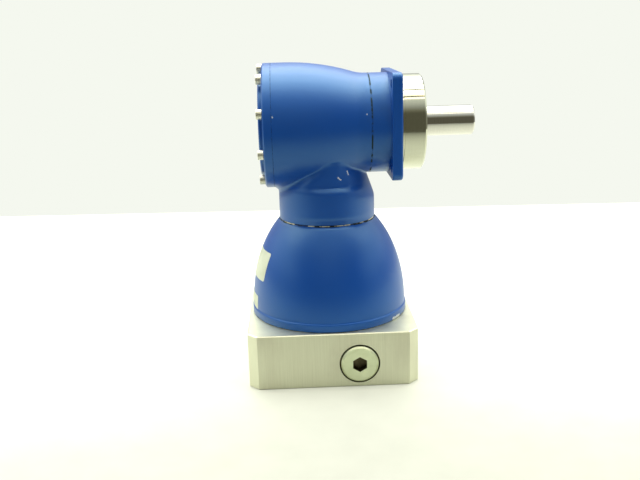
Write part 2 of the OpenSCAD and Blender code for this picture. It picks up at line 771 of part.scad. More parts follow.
module adapter_bell() {
  rim_edge = 0.6;
  rim_top = plate_h + bell_rim_h;
  groove = 0.5;
  foot_top = plate_h + bell_foot_h;
  outside = [for (i = [0:curve_steps])
    let (t = bell_sweep * i / curve_steps) [bell_base_z + bell_rise * sin(t), bell_base_r * cos(t)]];
  inside = [for (i = [0:curve_steps])
    let (z = roof_z + (foot_top + 3 - roof_z) * i / curve_steps) [z, bell_r(z) - bell_wall]];
  color(paint) difference() {
    turned(concat(
      [
        [plate_h - foot_spigot_h, foot_bore_r], [plate_h - foot_spigot_h, foot_spigot_r - fit],
        [plate_h, foot_spigot_r - fit], [plate_h, bell_rim_r - rim_edge], [plate_h + rim_edge, bell_rim_r],
        [rim_top - rim_edge, bell_rim_r], [rim_top, bell_rim_r - rim_edge], [rim_top, bell_base_r - groove],
        [rim_top + groove, bell_base_r - groove]
      ],
      outside,
      [
        [bell_top, small_r - fit], [lower_z, small_r - fit], [lower_z, nut_recess_r],
        [input_nut_z - nut_room, nut_recess_r], [input_nut_z - nut_room, input_seal_r], [roof_z, input_seal_r]
      ],
      inside,
      [[foot_top, foot_bore_r]]));
    translate([0, 0, roof_z - over]) around(bell_screws_n, bell_screw_r)
      cylinder(d = bell_screw_d + 2 * screw_play, h = bell_roof_t + 2 * over);
    translate([0, 0, plate_h - over]) around(4, plate_screw_r, plate_screw_turn)
      cylinder(d = plate_screw_d + 2 * fit, h = plate_screw_depth + screw_tip_room + over);
  }
}

module bell_screws() {
  color(dark_steel) translate([0, 0, roof_z]) around(bell_screws_n, bell_screw_r)
    rotate([180, 0, 0]) cap_screw(bell_screw_d, bell_roof_t + shim_t + bell_screw_depth, bell_screw_d);
}

module neck_shim() {
  shim_inset = 0.4;
  color(bare_metal) translate([0, 0, bell_top]) difference() {
    ring(small_r + fit, neck_r - shim_inset, shim_t);
    translate([0, 0, -over]) around(bell_screws_n, bell_screw_r)
      cylinder(d = bell_screw_d + 2 * screw_play, h = shim_t + 2 * over);
  }
}

// Square with cut corners
module cut_square(side, corner) {
  s = side / 2;
  c = s - corner;
  polygon([[s, -c], [s, c], [c, s], [-c, s], [-s, c], [-s, -c], [-c, -s], [c, -s]]);
}

// Plate with all its edges drawn in
module plate_block() {
  hull() {
    translate([0, 0, plate_edge])
      linear_extrude(plate_h - 2 * plate_edge) cut_square(plate_side, plate_chamfer);
    linear_extrude(plate_h) cut_square(plate_side - 2 * plate_edge, plate_chamfer);
  }
}

module adapter_plate() {
  seat_z = plate_h - plate_screw_grip;
  color(bare_metal) difference() {
    plate_block();
    translate([0, 0, -over]) cylinder(d = plate_bore_d, h = plate_h + 2 * over);
    translate([0, 0, -over]) cylinder(d = motor_pilot_d, h = motor_pilot_depth + over);
    translate([0, 0, plate_h - foot_spigot_h - seat_room])
      cylinder(r = foot_spigot_r, h = foot_spigot_h + seat_room + over);
    translate([0, 0, -over]) around(4, motor_pcd / 2, 45)
      cylinder(d = motor_bolt_core_d, h = motor_bolt_depth + over);
    around(4, plate_screw_r, plate_screw_turn) {
      translate([0, 0, -over]) cylinder(d = plate_screw_d + 2 * screw_play, h = plate_h + 2 * over);
      translate([0, 0, -over]) cylinder(r = plate_head_r, h = seat_z + over);
    }
    translate([clamp_screw_x, plug_face_y, clamp_screw_z]) rotate([-90, 0, 0]) {
      translate([0, 0, -over]) cylinder(d = plug_recess_d, h = plug_recess_depth + over);
      translate([0, 0, -over]) cylinder(d = plug_thread_d + 2 * fit, h = plate_side / 2);
    }
  }
}

module plate_screws() {
  color(dark_steel) translate([0, 0, plate_h - plate_screw_grip]) around(4, plate_screw_r, plate_screw_turn)
    rotate([180, 0, 0]) cap_screw(plate_screw_d, plate_screw_grip + plate_screw_depth, plate_screw_d);
}

// Lay a shape that stands on Z along the plug's axis, its top facing out of the plate
module at_plug(y) {
  translate([clamp_screw_x, y, clamp_screw_z]) rotate([90, 0, 0]) children();
}

module access_plug() {
  head_h = plug_recess_depth - plug_washer_t + plug_proud;
  edge = 1.2;
  socket_depth = 6;
  color(steel) at_plug(plug_seat_y - plug_washer_t) difference() {
    turned([
      [-plug_thread_len - plug_washer_t, 0], [-plug_thread_len - plug_washer_t, plug_thread_d / 2 - 1],
      [1 - plug_thread_len - plug_washer_t, plug_thread_d / 2], [0, plug_thread_d / 2], [0, plug_head_d / 2],
      [head_h - edge, plug_head_d / 2], [head_h, plug_head_d / 2 - edge], [head_h, 0]
    ]);
    translate([0, 0, head_h - socket_depth]) rotate([0, 0, 90])
      cylinder(r = plug_socket / sqrt(3), h = socket_depth + over, $fn = 6);
  }
}

module plug_washer() {
  color(bare_metal) at_plug(plug_seat_y) ring(plug_thread_d / 2 + 2 * fit, plug_head_d / 2, plug_washer_t);
}

// Output shaft group

// Key with round ends, lying along Z with its height along X
module key_shape(w, h, length) {
  translate([0, 0, w / 2]) rotate([0, 90, 0]) {
    translate([w - length, -w / 2, 0]) cube([length - w, w, h]);
    cylinder(d = w, h = h);
    translate([w - length, 0, 0]) cylinder(d = w, h = h);
  }
}

key_len = hub_front_x - hub_back_x - 3;
module key_place(w, h, length) {
  along_output(hub_back_x + 1.5) rotate([0, 0, 180]) translate([gear_seat_r - key_sink, 0, 0])
    key_shape(w, h, length);
}

module gear_key() {
  color(steel) key_place(key_w, key_h, key_len);
}

module output_shaft() {
  thread_r = small_bore_r - thread_drop;
  seat_end_x = hub_back_x + seat_room;
  collar_x = front_x - front_collar_t;
  gear_collar_x = hub_front_x + gear_collar_t;
  body_r = gear_seat_r - 1;
  collar_r = front_bore_r + 3.5;
  land_end_x = pilot_face_x + seal_land_out;
  color(steel) difference() {
    along_output() turned([
      [nut_x, 0], [nut_x, thread_r - 1], [nut_x + 1, thread_r], [rear_x, thread_r],
      [rear_x, small_bore_r - fit], [seat_end_x, small_bore_r - fit], [seat_end_x, gear_seat_r],
      [hub_front_x, gear_seat_r], [hub_front_x, crown_bore_r - 1], [gear_collar_x, crown_bore_r - 1],
      [gear_collar_x, body_r], [collar_x, body_r], [collar_x, collar_r], [front_x, collar_r],
      [front_x, front_bore_r - fit], [circlip_x + circlip_t, front_bore_r - fit],
      [circlip_x + circlip_t, seal_land_r], [land_end_x, seal_land_r], [land_end_x, shaft_d / 2],
      [shaft_end_x - shaft_edge, shaft_d / 2], [shaft_end_x, shaft_d / 2 - shaft_edge], [shaft_end_x, 0]
    ]);
    key_place(key_w + 2 * fit, key_h + over, key_len + 2 * fit);
  }
}

module crown_gear() {
  color(dark_steel) difference() {
    translate([0, 0, out_z]) crown_blank();
    along_output(crown_back_x) around(crown_screws_n, crown_screw_r)
      translate([0, 0, -over]) cylinder(d = crown_screw_d + 2 * fit, h = crown_screw_depth + 0.5 + over);
  }
}

module gear_hub() {
  color(steel) difference() {
    along_output() turned([
      [hub_back_x, gear_seat_r + fit], [hub_back_x, crown_rim_r - 1], [crown_back_x, crown_rim_r - 1],
      [crown_back_x, crown_bore_r - 2 * fit], [hub_front_x, crown_bore_r - 2 * fit],
      [hub_front_x, gear_seat_r + fit]
    ]);
    along_output(hub_back_x) around(crown_screws_n, crown_screw_r) {
      translate([0, 0, -over]) cylinder(d = crown_screw_d + 2 * screw_play, h = hub_flange_t + 2 * over);
      translate([0, 0, -over])
        cylinder(d = head_d(crown_screw_d) + head_room, h = low_head_h + seat_room + over);
    }
    along_output(hub_back_x - over) rotate([0, 0, 180])
      translate([0, -key_w / 2 - fit, 0])
      cube([gear_seat_r - key_sink + key_h + fit, key_w + 2 * fit, hub_front_x - hub_back_x + 2 * over]);
  }
}

module crown_gear_screws() {
  grip = hub_flange_t - low_head_h - seat_room;
  color(dark_steel) along_output(crown_back_x - grip) around(crown_screws_n, crown_screw_r)
    rotate([180, 0, 0]) cap_screw(crown_screw_d, grip + crown_screw_depth, low_head_h);
}

module thrust_ring() {
  color(steel) along_output(rear_front_x) ring(small_bore_r, thrust_r, thrust_t);
}

module front_bearing_inner_ring() {
  color(steel) along_output(front_x) inner_ring(front_bearing);
}

module rear_bearing_inner_ring() {
  color(steel) along_output(rear_x) inner_ring(small_bearing);
}

module shaft_lock_nut() {
  color(dark_steel) along_output(nut_x) lock_nut(small_bore_r - thread_drop + fit, nut_r, nut_h);
}

// Input shaft group

module pinion_shaft() {
  thread_r = small_bore_r - thread_drop;
  stop_r = small_bore_r + 2.5;
  stop_h = 3;
  end_z = upper_hub_z - cuff_h;
  end_edge = 1;
  color(dark_steel) union() {
    turned([
      [end_z, 0], [end_z, input_shaft_r - end_edge], [end_z + end_edge, input_shaft_r],
      [input_nut_z, input_shaft_r], [input_nut_z, thread_r], [lower_z, thread_r],
      [lower_z, small_bore_r - fit], [shoulder_z, small_bore_r - fit], [shoulder_z, stop_r],
      [shoulder_z + stop_h, stop_r], [shoulder_z + stop_h, 0]
    ]);
    translate([0, 0, out_z]) pinion_blank();
  }
}

module upper_bearing_inner_ring() {
  color(steel) translate([0, 0, upper_z]) inner_ring(small_bearing);
}

module lower_bearing_inner_ring() {
  color(steel) translate([0, 0, lower_z]) inner_ring(small_bearing);
}

module inner_spacer() {
  color(steel) translate([0, 0, spacer_z]) ring(small_bore_r, land_in(small_bearing), spacer_h);
}

module pinion_lock_nut() {
  color(dark_steel) translate([0, 0, input_nut_z]) lock_nut(small_bore_r - thread_drop + fit, nut_r, nut_h);
}

// Hole along Y for a clamping screw: a seat for the head on the near side, a thread beyond the slit
module clamp_cut(x, z, d, seat, depth, hub_radius) {
  translate([x, 0, z]) rotate([90, 0, 0]) {
    translate([0, 0, seat]) cylinder(d = head_d(d) + head_room, h = hub_radius);
    translate([0, 0, -slit_w / 2]) cylinder(d = d + 2 * screw_play, h = hub_radius);
    translate([0, 0, -depth - screw_tip_room]) cylinder(d = d + 2 * fit, h = hub_radius);
  }
}

module clamp_bolt(x, z, d, seat, depth) {
  translate([x, -seat, z]) rotate([90, 0, 0]) cap_screw(d, seat + depth, d);
}

clamp_seat = clamp_hub_d / 5;
clamp_depth = 1.4 * clamp_seat;
upper_seat = hub_d / 5;
upper_depth = 1.4 * upper_seat;

module coupling_upper_hub() {
  color(bare_metal) difference() {
    turned([
      [upper_hub_z - cuff_h, input_shaft_r + fit], [upper_hub_z - cuff_h, cuff_r - fit],
      [upper_hub_z, cuff_r - fit], [upper_hub_z, hub_r], [hub_top - 1, hub_r], [hub_top, hub_r - 1],
      [hub_top, input_shaft_r + fit]
    ]);
    translate([0, -slit_w / 2, upper_hub_z + 1]) cube([hub_r + over, slit_w, upper_hub_h]);
    clamp_cut(upper_screw_x, upper_screw_z, upper_screw_d, upper_seat, upper_depth, hub_r);
  }
}

module upper_hub_screw() {
  color(dark_steel) clamp_bolt(upper_screw_x, upper_screw_z, upper_screw_d, upper_seat, upper_depth);
}

module coupling_bellows() {
  wave_steps = 8;
  crest = hub_r - cuff_r - bellows_wall;
  z0 = clamp_hub_top + cuff_h;
  z1 = upper_hub_z - cuff_h;
  n = waves_n * wave_steps;
  inside = concat(
    [[clamp_hub_top, cuff_r]],
    [for (i = [0:n]) [z0 + (z1 - z0) * i / n, cuff_r + crest * (1 - cos(360 * i / wave_steps)) / 2]],
    [[upper_hub_z, cuff_r]]);
  outside = [for (i = [len(inside) - 1:-1:0]) [inside[i][0], inside[i][1] + bellows_wall]];
  color(steel) turned(concat(inside, outside));
}

module coupling_clamp_hub() {
  clamp_hub_r = clamp_hub_d / 2;
  wide_top = clamp_hub_z + clamp_hub_h;
  color(bare_metal) difference() {
    turned([
      [clamp_hub_z, motor_shaft_d / 2], [clamp_hub_z, clamp_hub_r - 1], [clamp_hub_z + 1, clamp_hub_r],
      [wide_top - 1, clamp_hub_r], [wide_top, clamp_hub_r - 1], [wide_top, hub_r], [clamp_hub_top, hub_r],
      [clamp_hub_top, cuff_r - fit], [clamp_hub_top + cuff_h, cuff_r - fit],
      [clamp_hub_top + cuff_h, motor_shaft_d / 2]
    ]);
    translate([0, -slit_w / 2, clamp_hub_z - over]) cube([clamp_hub_r + over, slit_w, clamp_hub_h + over]);
    clamp_cut(clamp_screw_x, clamp_screw_z, clamp_screw_d, clamp_seat, clamp_depth, clamp_hub_r);
  }
}

module clamp_screw() {
  color(dark_steel) clamp_bolt(clamp_screw_x, clamp_screw_z, clamp_screw_d, clamp_seat, clamp_depth);
}

// Balls and cages

module front_bearing_balls() {
  color(steel) along_output(front_x) balls(front_bearing);
}

module front_bearing_cage() {
  color(brass) along_output(front_x) cage(front_bearing);
}

module rear_bearing_balls() {
  color(steel) along_output(rear_x) balls(small_bearing);
}

module rear_bearing_cage() {
  color(brass) along_output(rear_x) cage(small_bearing);
}

module upper_bearing_balls() {
  color(steel) translate([0, 0, upper_z]) balls(small_bearing);
}

module upper_bearing_cage() {
  color(brass) translate([0, 0, upper_z]) cage(small_bearing);
}

module lower_bearing_balls() {
  color(steel) translate([0, 0, lower_z]) balls(small_bearing);
}

module lower_bearing_cage() {
  color(brass) translate([0, 0, lower_z]) cage(small_bearing);
}

gear_housing();
rear_cover();
rear_cover_screws();
rear_cover_o_ring();
output_flange();
output_flange_screws();
output_flange_o_ring();
output_seal();
front_bearing_outer_ring();
front_bearing_circlip();
rear_bearing_outer_ring();
upper_bearing_outer_ring();
lower_bearing_outer_ring();
outer_spacer();
input_seal();
adapter_bell();
bell_screws();
neck_shim();
adapter_plate();
plate_screws();
access_plug();
plug_washer();
output_shaft();
crown_gear();
gear_hub();
crown_gear_screws();
gear_key();
thrust_ring();
front_bearing_inner_ring();
rear_bearing_inner_ring();
shaft_lock_nut();
pinion_shaft();
upper_bearing_inner_ring();
lower_bearing_inner_ring();
inner_spacer();
pinion_lock_nut();
coupling_upper_hub();
upper_hub_screw();
coupling_bellows();
coupling_clamp_hub();
clamp_screw();
front_bearing_balls();
front_bearing_cage();
rear_bearing_balls();
rear_bearing_cage();
upper_bearing_balls();
upper_bearing_cage();
lower_bearing_balls();
lower_bearing_cage();
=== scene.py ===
"""Looks of a right angle bevel gearbox: smooth painted castings, machined metal, wear and studio light.

Everything is in metres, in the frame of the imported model: +Z up along the input axis and
+X along the output shaft.
"""
import json
import math

import bmesh
import bpy
import numpy as np
from mathutils import Matrix, Vector


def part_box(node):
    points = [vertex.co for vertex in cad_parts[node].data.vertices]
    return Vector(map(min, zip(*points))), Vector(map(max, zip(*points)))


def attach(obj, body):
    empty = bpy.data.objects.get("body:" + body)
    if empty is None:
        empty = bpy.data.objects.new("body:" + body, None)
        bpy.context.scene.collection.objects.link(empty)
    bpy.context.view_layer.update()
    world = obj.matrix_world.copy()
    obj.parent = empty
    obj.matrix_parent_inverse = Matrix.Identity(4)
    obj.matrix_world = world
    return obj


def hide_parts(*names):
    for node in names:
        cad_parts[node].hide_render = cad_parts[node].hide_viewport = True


MM = 0.001

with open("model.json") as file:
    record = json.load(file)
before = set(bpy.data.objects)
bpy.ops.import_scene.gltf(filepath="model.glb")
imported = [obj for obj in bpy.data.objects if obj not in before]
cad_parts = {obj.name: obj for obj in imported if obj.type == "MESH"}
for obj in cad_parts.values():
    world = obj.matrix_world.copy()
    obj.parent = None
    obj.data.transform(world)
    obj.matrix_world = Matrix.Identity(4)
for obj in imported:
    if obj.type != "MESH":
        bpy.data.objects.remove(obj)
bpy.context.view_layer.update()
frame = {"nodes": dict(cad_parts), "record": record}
nodes = frame["nodes"]


# Camera, fitted to the photograph

IMAGE_W = 640
SENSOR_W = 36.0
FOCAL_PX = 803.8
CAMERA_AT = Vector((-23.2, -598.3, 254.0)) * MM
CAMERA_YAW = math.radians(1.652)
CAMERA_PITCH = math.radians(-14.918)
CAMERA_ROLL = math.radians(-1.609)
CAMERA_CLIP = 0.01


def camera_axes():
    """Right, up and forward directions of the camera."""
    yaw, pitch, roll = CAMERA_YAW, CAMERA_PITCH, CAMERA_ROLL
    flat = math.cos(pitch)
    forward = Vector((math.sin(yaw) * flat, math.cos(yaw) * flat, math.sin(pitch)))
    level = Vector((math.cos(yaw), -math.sin(yaw), 0))
    upright = level.cross(forward)
    right = level * math.cos(roll) + upright * math.sin(roll)
    up = upright * math.cos(roll) - level * math.sin(roll)
    return right, up, forward


def add_camera():
    """Camera at the photograph's place and angle."""
    data = bpy.data.cameras.new("camera")
    data.sensor_fit = "HORIZONTAL"
    data.sensor_width = SENSOR_W
    data.lens = FOCAL_PX * SENSOR_W / IMAGE_W
    data.clip_start = CAMERA_CLIP
    camera = bpy.data.objects.new("camera", data)
    bpy.context.scene.collection.objects.link(camera)
    right, up, forward = camera_axes()
    turn = Matrix((right, up, -forward)).transposed()
    camera.matrix_world = Matrix.Translation(CAMERA_AT) @ turn.to_4x4()
    bpy.context.scene.camera = camera


# Sizes that the looks follow, read from the frame

housing_low, housing_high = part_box("gear_housing")
plate_low, plate_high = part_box("adapter_plate")
bell_low, bell_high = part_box("adapter_bell")
flange_low, flange_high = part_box("output_flange")
shim_low, shim_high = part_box("neck_shim")
plug_low, plug_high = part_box("access_plug")

BARREL_R = (housing_high.y - housing_low.y) / 2
OUT_Z = housing_high.z - BARREL_R
NECK_R = housing_high.x
NECK_FOOT = housing_low.z
REAR_SEAM = housing_low.x
BELL_TOP = shim_low.z
PLATE_TOP = plate_high.z
BELL_RIM_R = bell_high.x
FLANGE_HALF = flange_high.y
FLANGE_SPIGOT = 8 * MM
FRONT_SEAM = flange_low.x + FLANGE_SPIGOT
FRONT_R = 36.5 * MM


# Node helpers

class Nodes:
    """Adds nodes to a node tree, wires them and returns their outputs."""

    def __init__(self, tree):
        self.tree = tree

    def add(self, kind, inputs=None, **settings):
        made = self.tree.nodes.new("ShaderNode" + kind)
        for key, value in settings.items():
            setattr(made, key, value)
        for key, value in (inputs or {}).items():
            self.feed(made.inputs[key], value)
        return made

    def feed(self, socket, value):
        if isinstance(value, bpy.types.NodeSocket):
            self.tree.links.new(value, socket)
        else:
            socket.default_value = value

    def span(self, value, low, high, to_low=0.0, to_high=1.0, ease="LINEAR"):
        """Map one range of values to another."""
        inputs = {"Value": value, "From Min": low, "From Max": high, "To Min": to_low, "To Max": to_high}
        return self.add("MapRange", inputs, interpolation_type=ease).outputs["Result"]

    def math(self, operation, a, b=0.0):
        return self.add("Math", {0: a, 1: b}, operation=operation).outputs["Value"]

    def blend(self, factor, a, b):
        """Mix of two values."""
        return self.add("Mix", {0: factor, 2: a, 3: b}, data_type="FLOAT").outputs[0]

    def tint(self, factor, a, b):
        """Mix of two colours."""
        return self.add("Mix", {0: factor, 6: a, 7: b}, data_type="RGBA").outputs[2]

    def parts(self, vector):
        return self.add("SeparateXYZ", {"Vector": vector}).outputs


class Shader(Nodes):
    """One procedural material on a Principled shader."""

    def __init__(self, name, **constants):
        self.material = bpy.data.materials.new(name)
        self.material.use_nodes = True
        super().__init__(self.material.node_tree)
        self.bsdf = self.tree.nodes["Principled BSDF"]
        self.place = self.add("TexCoord").outputs["Object"]
        for socket, value in constants.items():
            self.bsdf.inputs[socket.replace("_", " ")].default_value = value

    def set(self, socket, value):
        self.feed(self.bsdf.inputs[socket], value)

    def noise(self, scale, detail, stretch=None, roughness=0.5):
        vector = self.place
        if stretch:
            vector = self.add("Mapping", {"Vector": vector, "Scale": stretch}).outputs["Vector"]
        inputs = {"Vector": vector, "Scale": scale, "Detail": detail, "Roughness": roughness}
        return self.add("TexNoise", inputs).outputs["Fac"]

    def axis(self, letter):
        return self.parts(self.place)[letter]

    def near(self, point):
        """Distance from a point of the frame."""
        made = self.add("VectorMath", {0: self.place, 1: tuple(point)}, operation="DISTANCE")
        return made.outputs["Value"]

    def radius(self, letter):
        """Distance from the output axis, X, or from the input axis, Z."""
        centre = (0, 0, OUT_Z) if letter == "X" else (0, 0, 0)
        made = self.add("VectorMath", {0: self.place, 1: centre}, operation="SUBTRACT")
        parts = self.parts(made.outputs["Vector"])
        others = [parts[other] for other in "XYZ" if other != letter]
        squares = [self.math("MULTIPLY", part, part) for part in others]
        return self.math("SQRT", self.math("ADD", *squares))

    def bump(self, height, strength, distance):
        inputs = {"Height": height, "Strength": strength, "Distance": distance}
        self.set("Normal", self.add("Bump", inputs).outputs["Normal"])


def rgb(r, g, b):
    """Linear colour from the 0 to 255 values of a screen colour, by the sRGB curve."""
    def linear(v):
        v /= 255
        return v / 12.92 if v <= 0.04045 else ((v + 0.055) / 1.055) ** 2.4
    return (linear(r), linear(g), linear(b), 1.0)


# Chips in the paint, as (start, end, radius) of short streaks

PAINT_CHIPS = [
    (Vector((14.0, -30.35, 152.9)) * MM, Vector((14.7, -30.25, 150.4)) * MM, 0.5 * MM),
    (Vector((7.3, -34.35, 149.0)) * MM, Vector((9.0, -33.75, 147.35)) * MM, 0.55 * MM),
    (Vector((46.0, -37.8, 42.2)) * MM, Vector((51.0, -30.7, 42.2)) * MM, 1.3 * MM),
    (Vector((-37.7, -44.1, 194.5)) * MM, Vector((-37.6, -44.1, 194.3)) * MM, 0.4 * MM),
    (Vector((28.3, -35.1, 193.6)) * MM, Vector((28.3, -35.1, 193.4)) * MM, 0.4 * MM),
]
CHIP_POINTS = 5
CHIP_RAGGED = 0.5 * MM

# Seams that hold dirt, as (axis, place, reach, widest radius round the output axis)

SEAM_MARGIN = 1 * MM
SEAMS = [
    ("X", FRONT_SEAM, 0.8 * MM, FRONT_R + SEAM_MARGIN),
    ("X", REAR_SEAM, 0.15 * MM, BARREL_R + SEAM_MARGIN),
    ("Z", NECK_FOOT, 0.5 * MM, None),
    ("Z", BELL_TOP, 0.5 * MM, None),
    ("Z", PLATE_TOP, 0.7 * MM, None),
]


# Materials: ranges of a noise's values, colours and roughness

MIDDLE = (0.3, 0.7)
HALF = (0.25, 0.75)
WIDE = (0.2, 0.8)
PAINT_SHEEN = (0.44, 0.84, 0.95, 1.0)
PAINT_DEEP = rgb(2, 62, 149)
PAINT_PALE = rgb(3, 69, 158)
PAINT_ROUGH = (0.32, 0.35)
DIRT = rgb(12, 14, 20)
DIRT_BREAKS = (0.38, 0.54)
DIRT_SOLID = 0.5
DIRT_ROUGH = 0.9
CHIP_METAL = rgb(196, 200, 204)
MILLED_DARK = rgb(212, 214, 190)
MILLED_LIGHT = rgb(226, 228, 206)
# Painted light: a paler colour for the flat and slanted faces, which catch the overhead light and
# reflect the bright floor
MILLED_PAINTED_LIGHT = rgb(232, 234, 212)
MILLED_PAINTED_LIGHT_SHARE = 0.6
MILLED_STAIN = rgb(182, 177, 158)
MILLED_STAIN_AT = (0.48, 0.74)
MILLED_STAIN_SHARE = 0.5
MILLED_ROUGH = (0.36, 0.52)
UPRIGHT_LINES = (1.0, 1.0, 0.02)
ACROSS_LINES = (0.02, 1.0, 1.0)
FLAT_FACING = 0.8
SLANT_FACING = 0.3
RING_SCALE = 2600.0
RING_STAIN_AT = (0.5, 0.8)
RING_STAIN_SHARE = 0.3
RING_ROUGH_AT = (0.6, 1.4)
RING_SMOOTHER = 0.05
RING_ROUGHER = 0.06
GRAIN_SMOOTHER = 0.06
GRAIN_ROUGHER = 0.08
# Dark of the shim's gaps: oil, and painted shade of the recessed joint
SHIM_OIL_AND_SHADE = rgb(14, 14, 16)
SHIM_BRIGHT = rgb(246, 240, 214)
SHIM_BEADS_AT = (0.46, 0.54)
SHIM_ROUGH = (0.6, 0.4)
RUBBER_BLACK = rgb(24, 24, 25)
RUBBER_DUST = rgb(58, 57, 54)
RUBBER_DUST_AT = (0.45, 0.8)
RUBBER_ROUGH = (0.55, 0.7)
PAPER_WHITE = rgb(214, 220, 198)
PAPER_YELLOWED = rgb(192, 198, 172)
PAPER_STAIN_AT = (0.35, 0.75)
PAPER_ROUGH = (0.45, 0.6)


def chip_mask(s):
    """Where the paint is chipped down to the metal."""
    ragged = s.span(s.noise(scale=1400.0, detail=2.0), *WIDE, -1.0, 1.0)
    ragged = s.math("MULTIPLY", ragged, CHIP_RAGGED)
    mask = 0.0
    for start, end, radius in PAINT_CHIPS:
        for i in range(CHIP_POINTS):
            point = start.lerp(end, i / (CHIP_POINTS - 1))
            reach = s.math("ADD", s.near(point), ragged)
            mask = s.math("MAXIMUM", mask, s.math("LESS_THAN", reach, radius))
    return mask


def seam_dirt(s):
    """Broken dark lines where the castings meet each other and the plate."""
    broken = s.span(s.noise(scale=260.0, detail=3.0), *DIRT_BREAKS)
    from_axis = s.radius("X")
    mask = 0.0
    for letter, place, reach, widest in SEAMS:
        away = s.math("ABSOLUTE", s.math("SUBTRACT", s.axis(letter), place))
        line = s.span(away, DIRT_SOLID * reach, reach, 1.0, 0.0)
        line = s.math("MULTIPLY", line, broken)
        if widest:
            line = s.math("MULTIPLY", line, s.math("LESS_THAN", from_axis, widest))
        mask = s.math("MAXIMUM", mask, line)
    return mask


def paint_material():
    """Semi-gloss blue paint with a fine orange peel, faint clouding, dirty seams and a few chips."""
    s = Shader("blue_paint", Metallic=0.0, IOR=1.5, Specular_IOR_Level=1.0, Specular_Tint=PAINT_SHEEN)
    clouds = s.noise(scale=9.0, detail=4.0)
    dirt = seam_dirt(s)
    base = s.tint(s.span(clouds, *MIDDLE), PAINT_DEEP, PAINT_PALE)
    base = s.tint(dirt, base, DIRT)
    s.set("Base Color", s.tint(chip_mask(s), base, CHIP_METAL))
    smear = s.noise(scale=60.0, detail=5.0, stretch=(1.0, 1.0, 0.35))
    gloss = s.span(smear, *HALF, *PAINT_ROUGH)
    s.set("Roughness", s.math("MAXIMUM", gloss, s.math("MULTIPLY", dirt, DIRT_ROUGH)))
    s.bump(s.noise(scale=520.0, detail=2.0), strength=0.05, distance=0.25 * MM)
    return s.material


def milled_material():
    """Milled aluminium: fine upright lines on the sides, lines across on the top and bottom, and painted
    light that makes the flat and slanted faces paler.
    """
    s = Shader("milled_aluminium", Metallic=1.0)
    upright = s.noise(scale=1100.0, detail=3.0, stretch=UPRIGHT_LINES, roughness=0.7)
    across = s.noise(scale=1100.0, detail=3.0, stretch=ACROSS_LINES, roughness=0.7)
    facing = s.parts(s.add("NewGeometry").outputs["Normal"])
    flat = s.math("GREATER_THAN", s.math("ABSOLUTE", facing["Z"]), FLAT_FACING)
    slanted = s.math("GREATER_THAN", s.math("ABSOLUTE", facing["X"]), SLANT_FACING)
    # Painted light: the flat faces and the slanted chamfers are made paler
    painted_light = s.math("MULTIPLY", s.math("MAXIMUM", flat, slanted), MILLED_PAINTED_LIGHT_SHARE)
    lines = s.blend(flat, upright, across)
    stain = s.noise(scale=26.0, detail=5.0, stretch=(1.0, 1.0, 0.5))
    stain = s.span(stain, *MILLED_STAIN_AT, 0.0, MILLED_STAIN_SHARE)
    base = s.tint(s.span(lines, *HALF), MILLED_DARK, MILLED_LIGHT)
    base = s.tint(painted_light, base, MILLED_PAINTED_LIGHT)
    s.set("Base Color", s.tint(stain, base, MILLED_STAIN))
    s.set("Roughness", s.span(lines, *WIDE, *MILLED_ROUGH))
    s.bump(lines, strength=0.18, distance=0.05 * MM)
    return s.material


def turned_material(name, letter, light, dark, rough, depth=0.16):
    """Lathe turned metal: rings round an axis, on the round faces and on the end faces alike."""
    s = Shader(name, Metallic=1.0)
    along = s.math("ADD", s.axis(letter), s.radius(letter))
    inputs = {"W": along, "Scale": RING_SCALE, "Detail": 3.0, "Roughness": 0.7}
    rings = s.add("TexNoise", inputs, noise_dimensions="1D").outputs["Fac"]
    stain = s.noise(scale=45.0, detail=5.0)
    base = s.tint(s.span(rings, *MIDDLE), dark, light)
    stained = s.span(stain, *RING_STAIN_AT, 0.0, RING_STAIN_SHARE)
    s.set("Base Color", s.tint(stained, base, dark))
    wear = s.math("ADD", rings, stain)
    s.set("Roughness", s.span(wear, *RING_ROUGH_AT, rough - RING_SMOOTHER, rough + RING_ROUGHER))
    s.bump(rings, strength=depth, distance=0.03 * MM)
    return s.material


def plain_metal(name, light, dark, rough, metallic=1.0):
    """Metal with a cloudy finish and fine grain."""
    s = Shader(name, Metallic=metallic)
    grain = s.noise(scale=1800.0, detail=3.0)
    clouds = s.noise(scale=110.0, detail=4.0)
    s.set("Base Color", s.tint(s.span(clouds, *MIDDLE), dark, light))
    s.set("Roughness", s.span(grain, *WIDE, rough - GRAIN_SMOOTHER, rough + GRAIN_ROUGHER))
    s.bump(grain, strength=0.05, distance=0.04 * MM)
    return s.material


def shim_material():
    """Thin metal shim whose edge shows as bright beads between dark gaps, which are oil and painted
    shade of the recessed joint.
    """
    s = Shader("oil_and_shade_shim")
    beads = s.span(s.noise(scale=230.0, detail=2.0, stretch=(1.0, 1.0, 0.1)), *SHIM_BEADS_AT)
    # Between the beads the colour is oil and painted shade
    s.set("Base Color", s.tint(beads, SHIM_OIL_AND_SHADE, SHIM_BRIGHT))
    s.set("Metallic", beads)
    s.set("Roughness", s.span(beads, 0.0, 1.0, *SHIM_ROUGH))
    return s.material


def rubber_material():
    """Black rubber with a little dust."""
    s = Shader("black_rubber", Metallic=0.0)
    grain = s.noise(scale=2400.0, detail=2.0)
    dust = s.noise(scale=80.0, detail=5.0)
    s.set("Base Color", s.tint(s.span(dust, *RUBBER_DUST_AT), RUBBER_BLACK, RUBBER_DUST))
    s.set("Roughness", s.span(grain, *WIDE, *RUBBER_ROUGH))
    s.bump(grain, strength=0.12, distance=0.05 * MM)
    return s.material


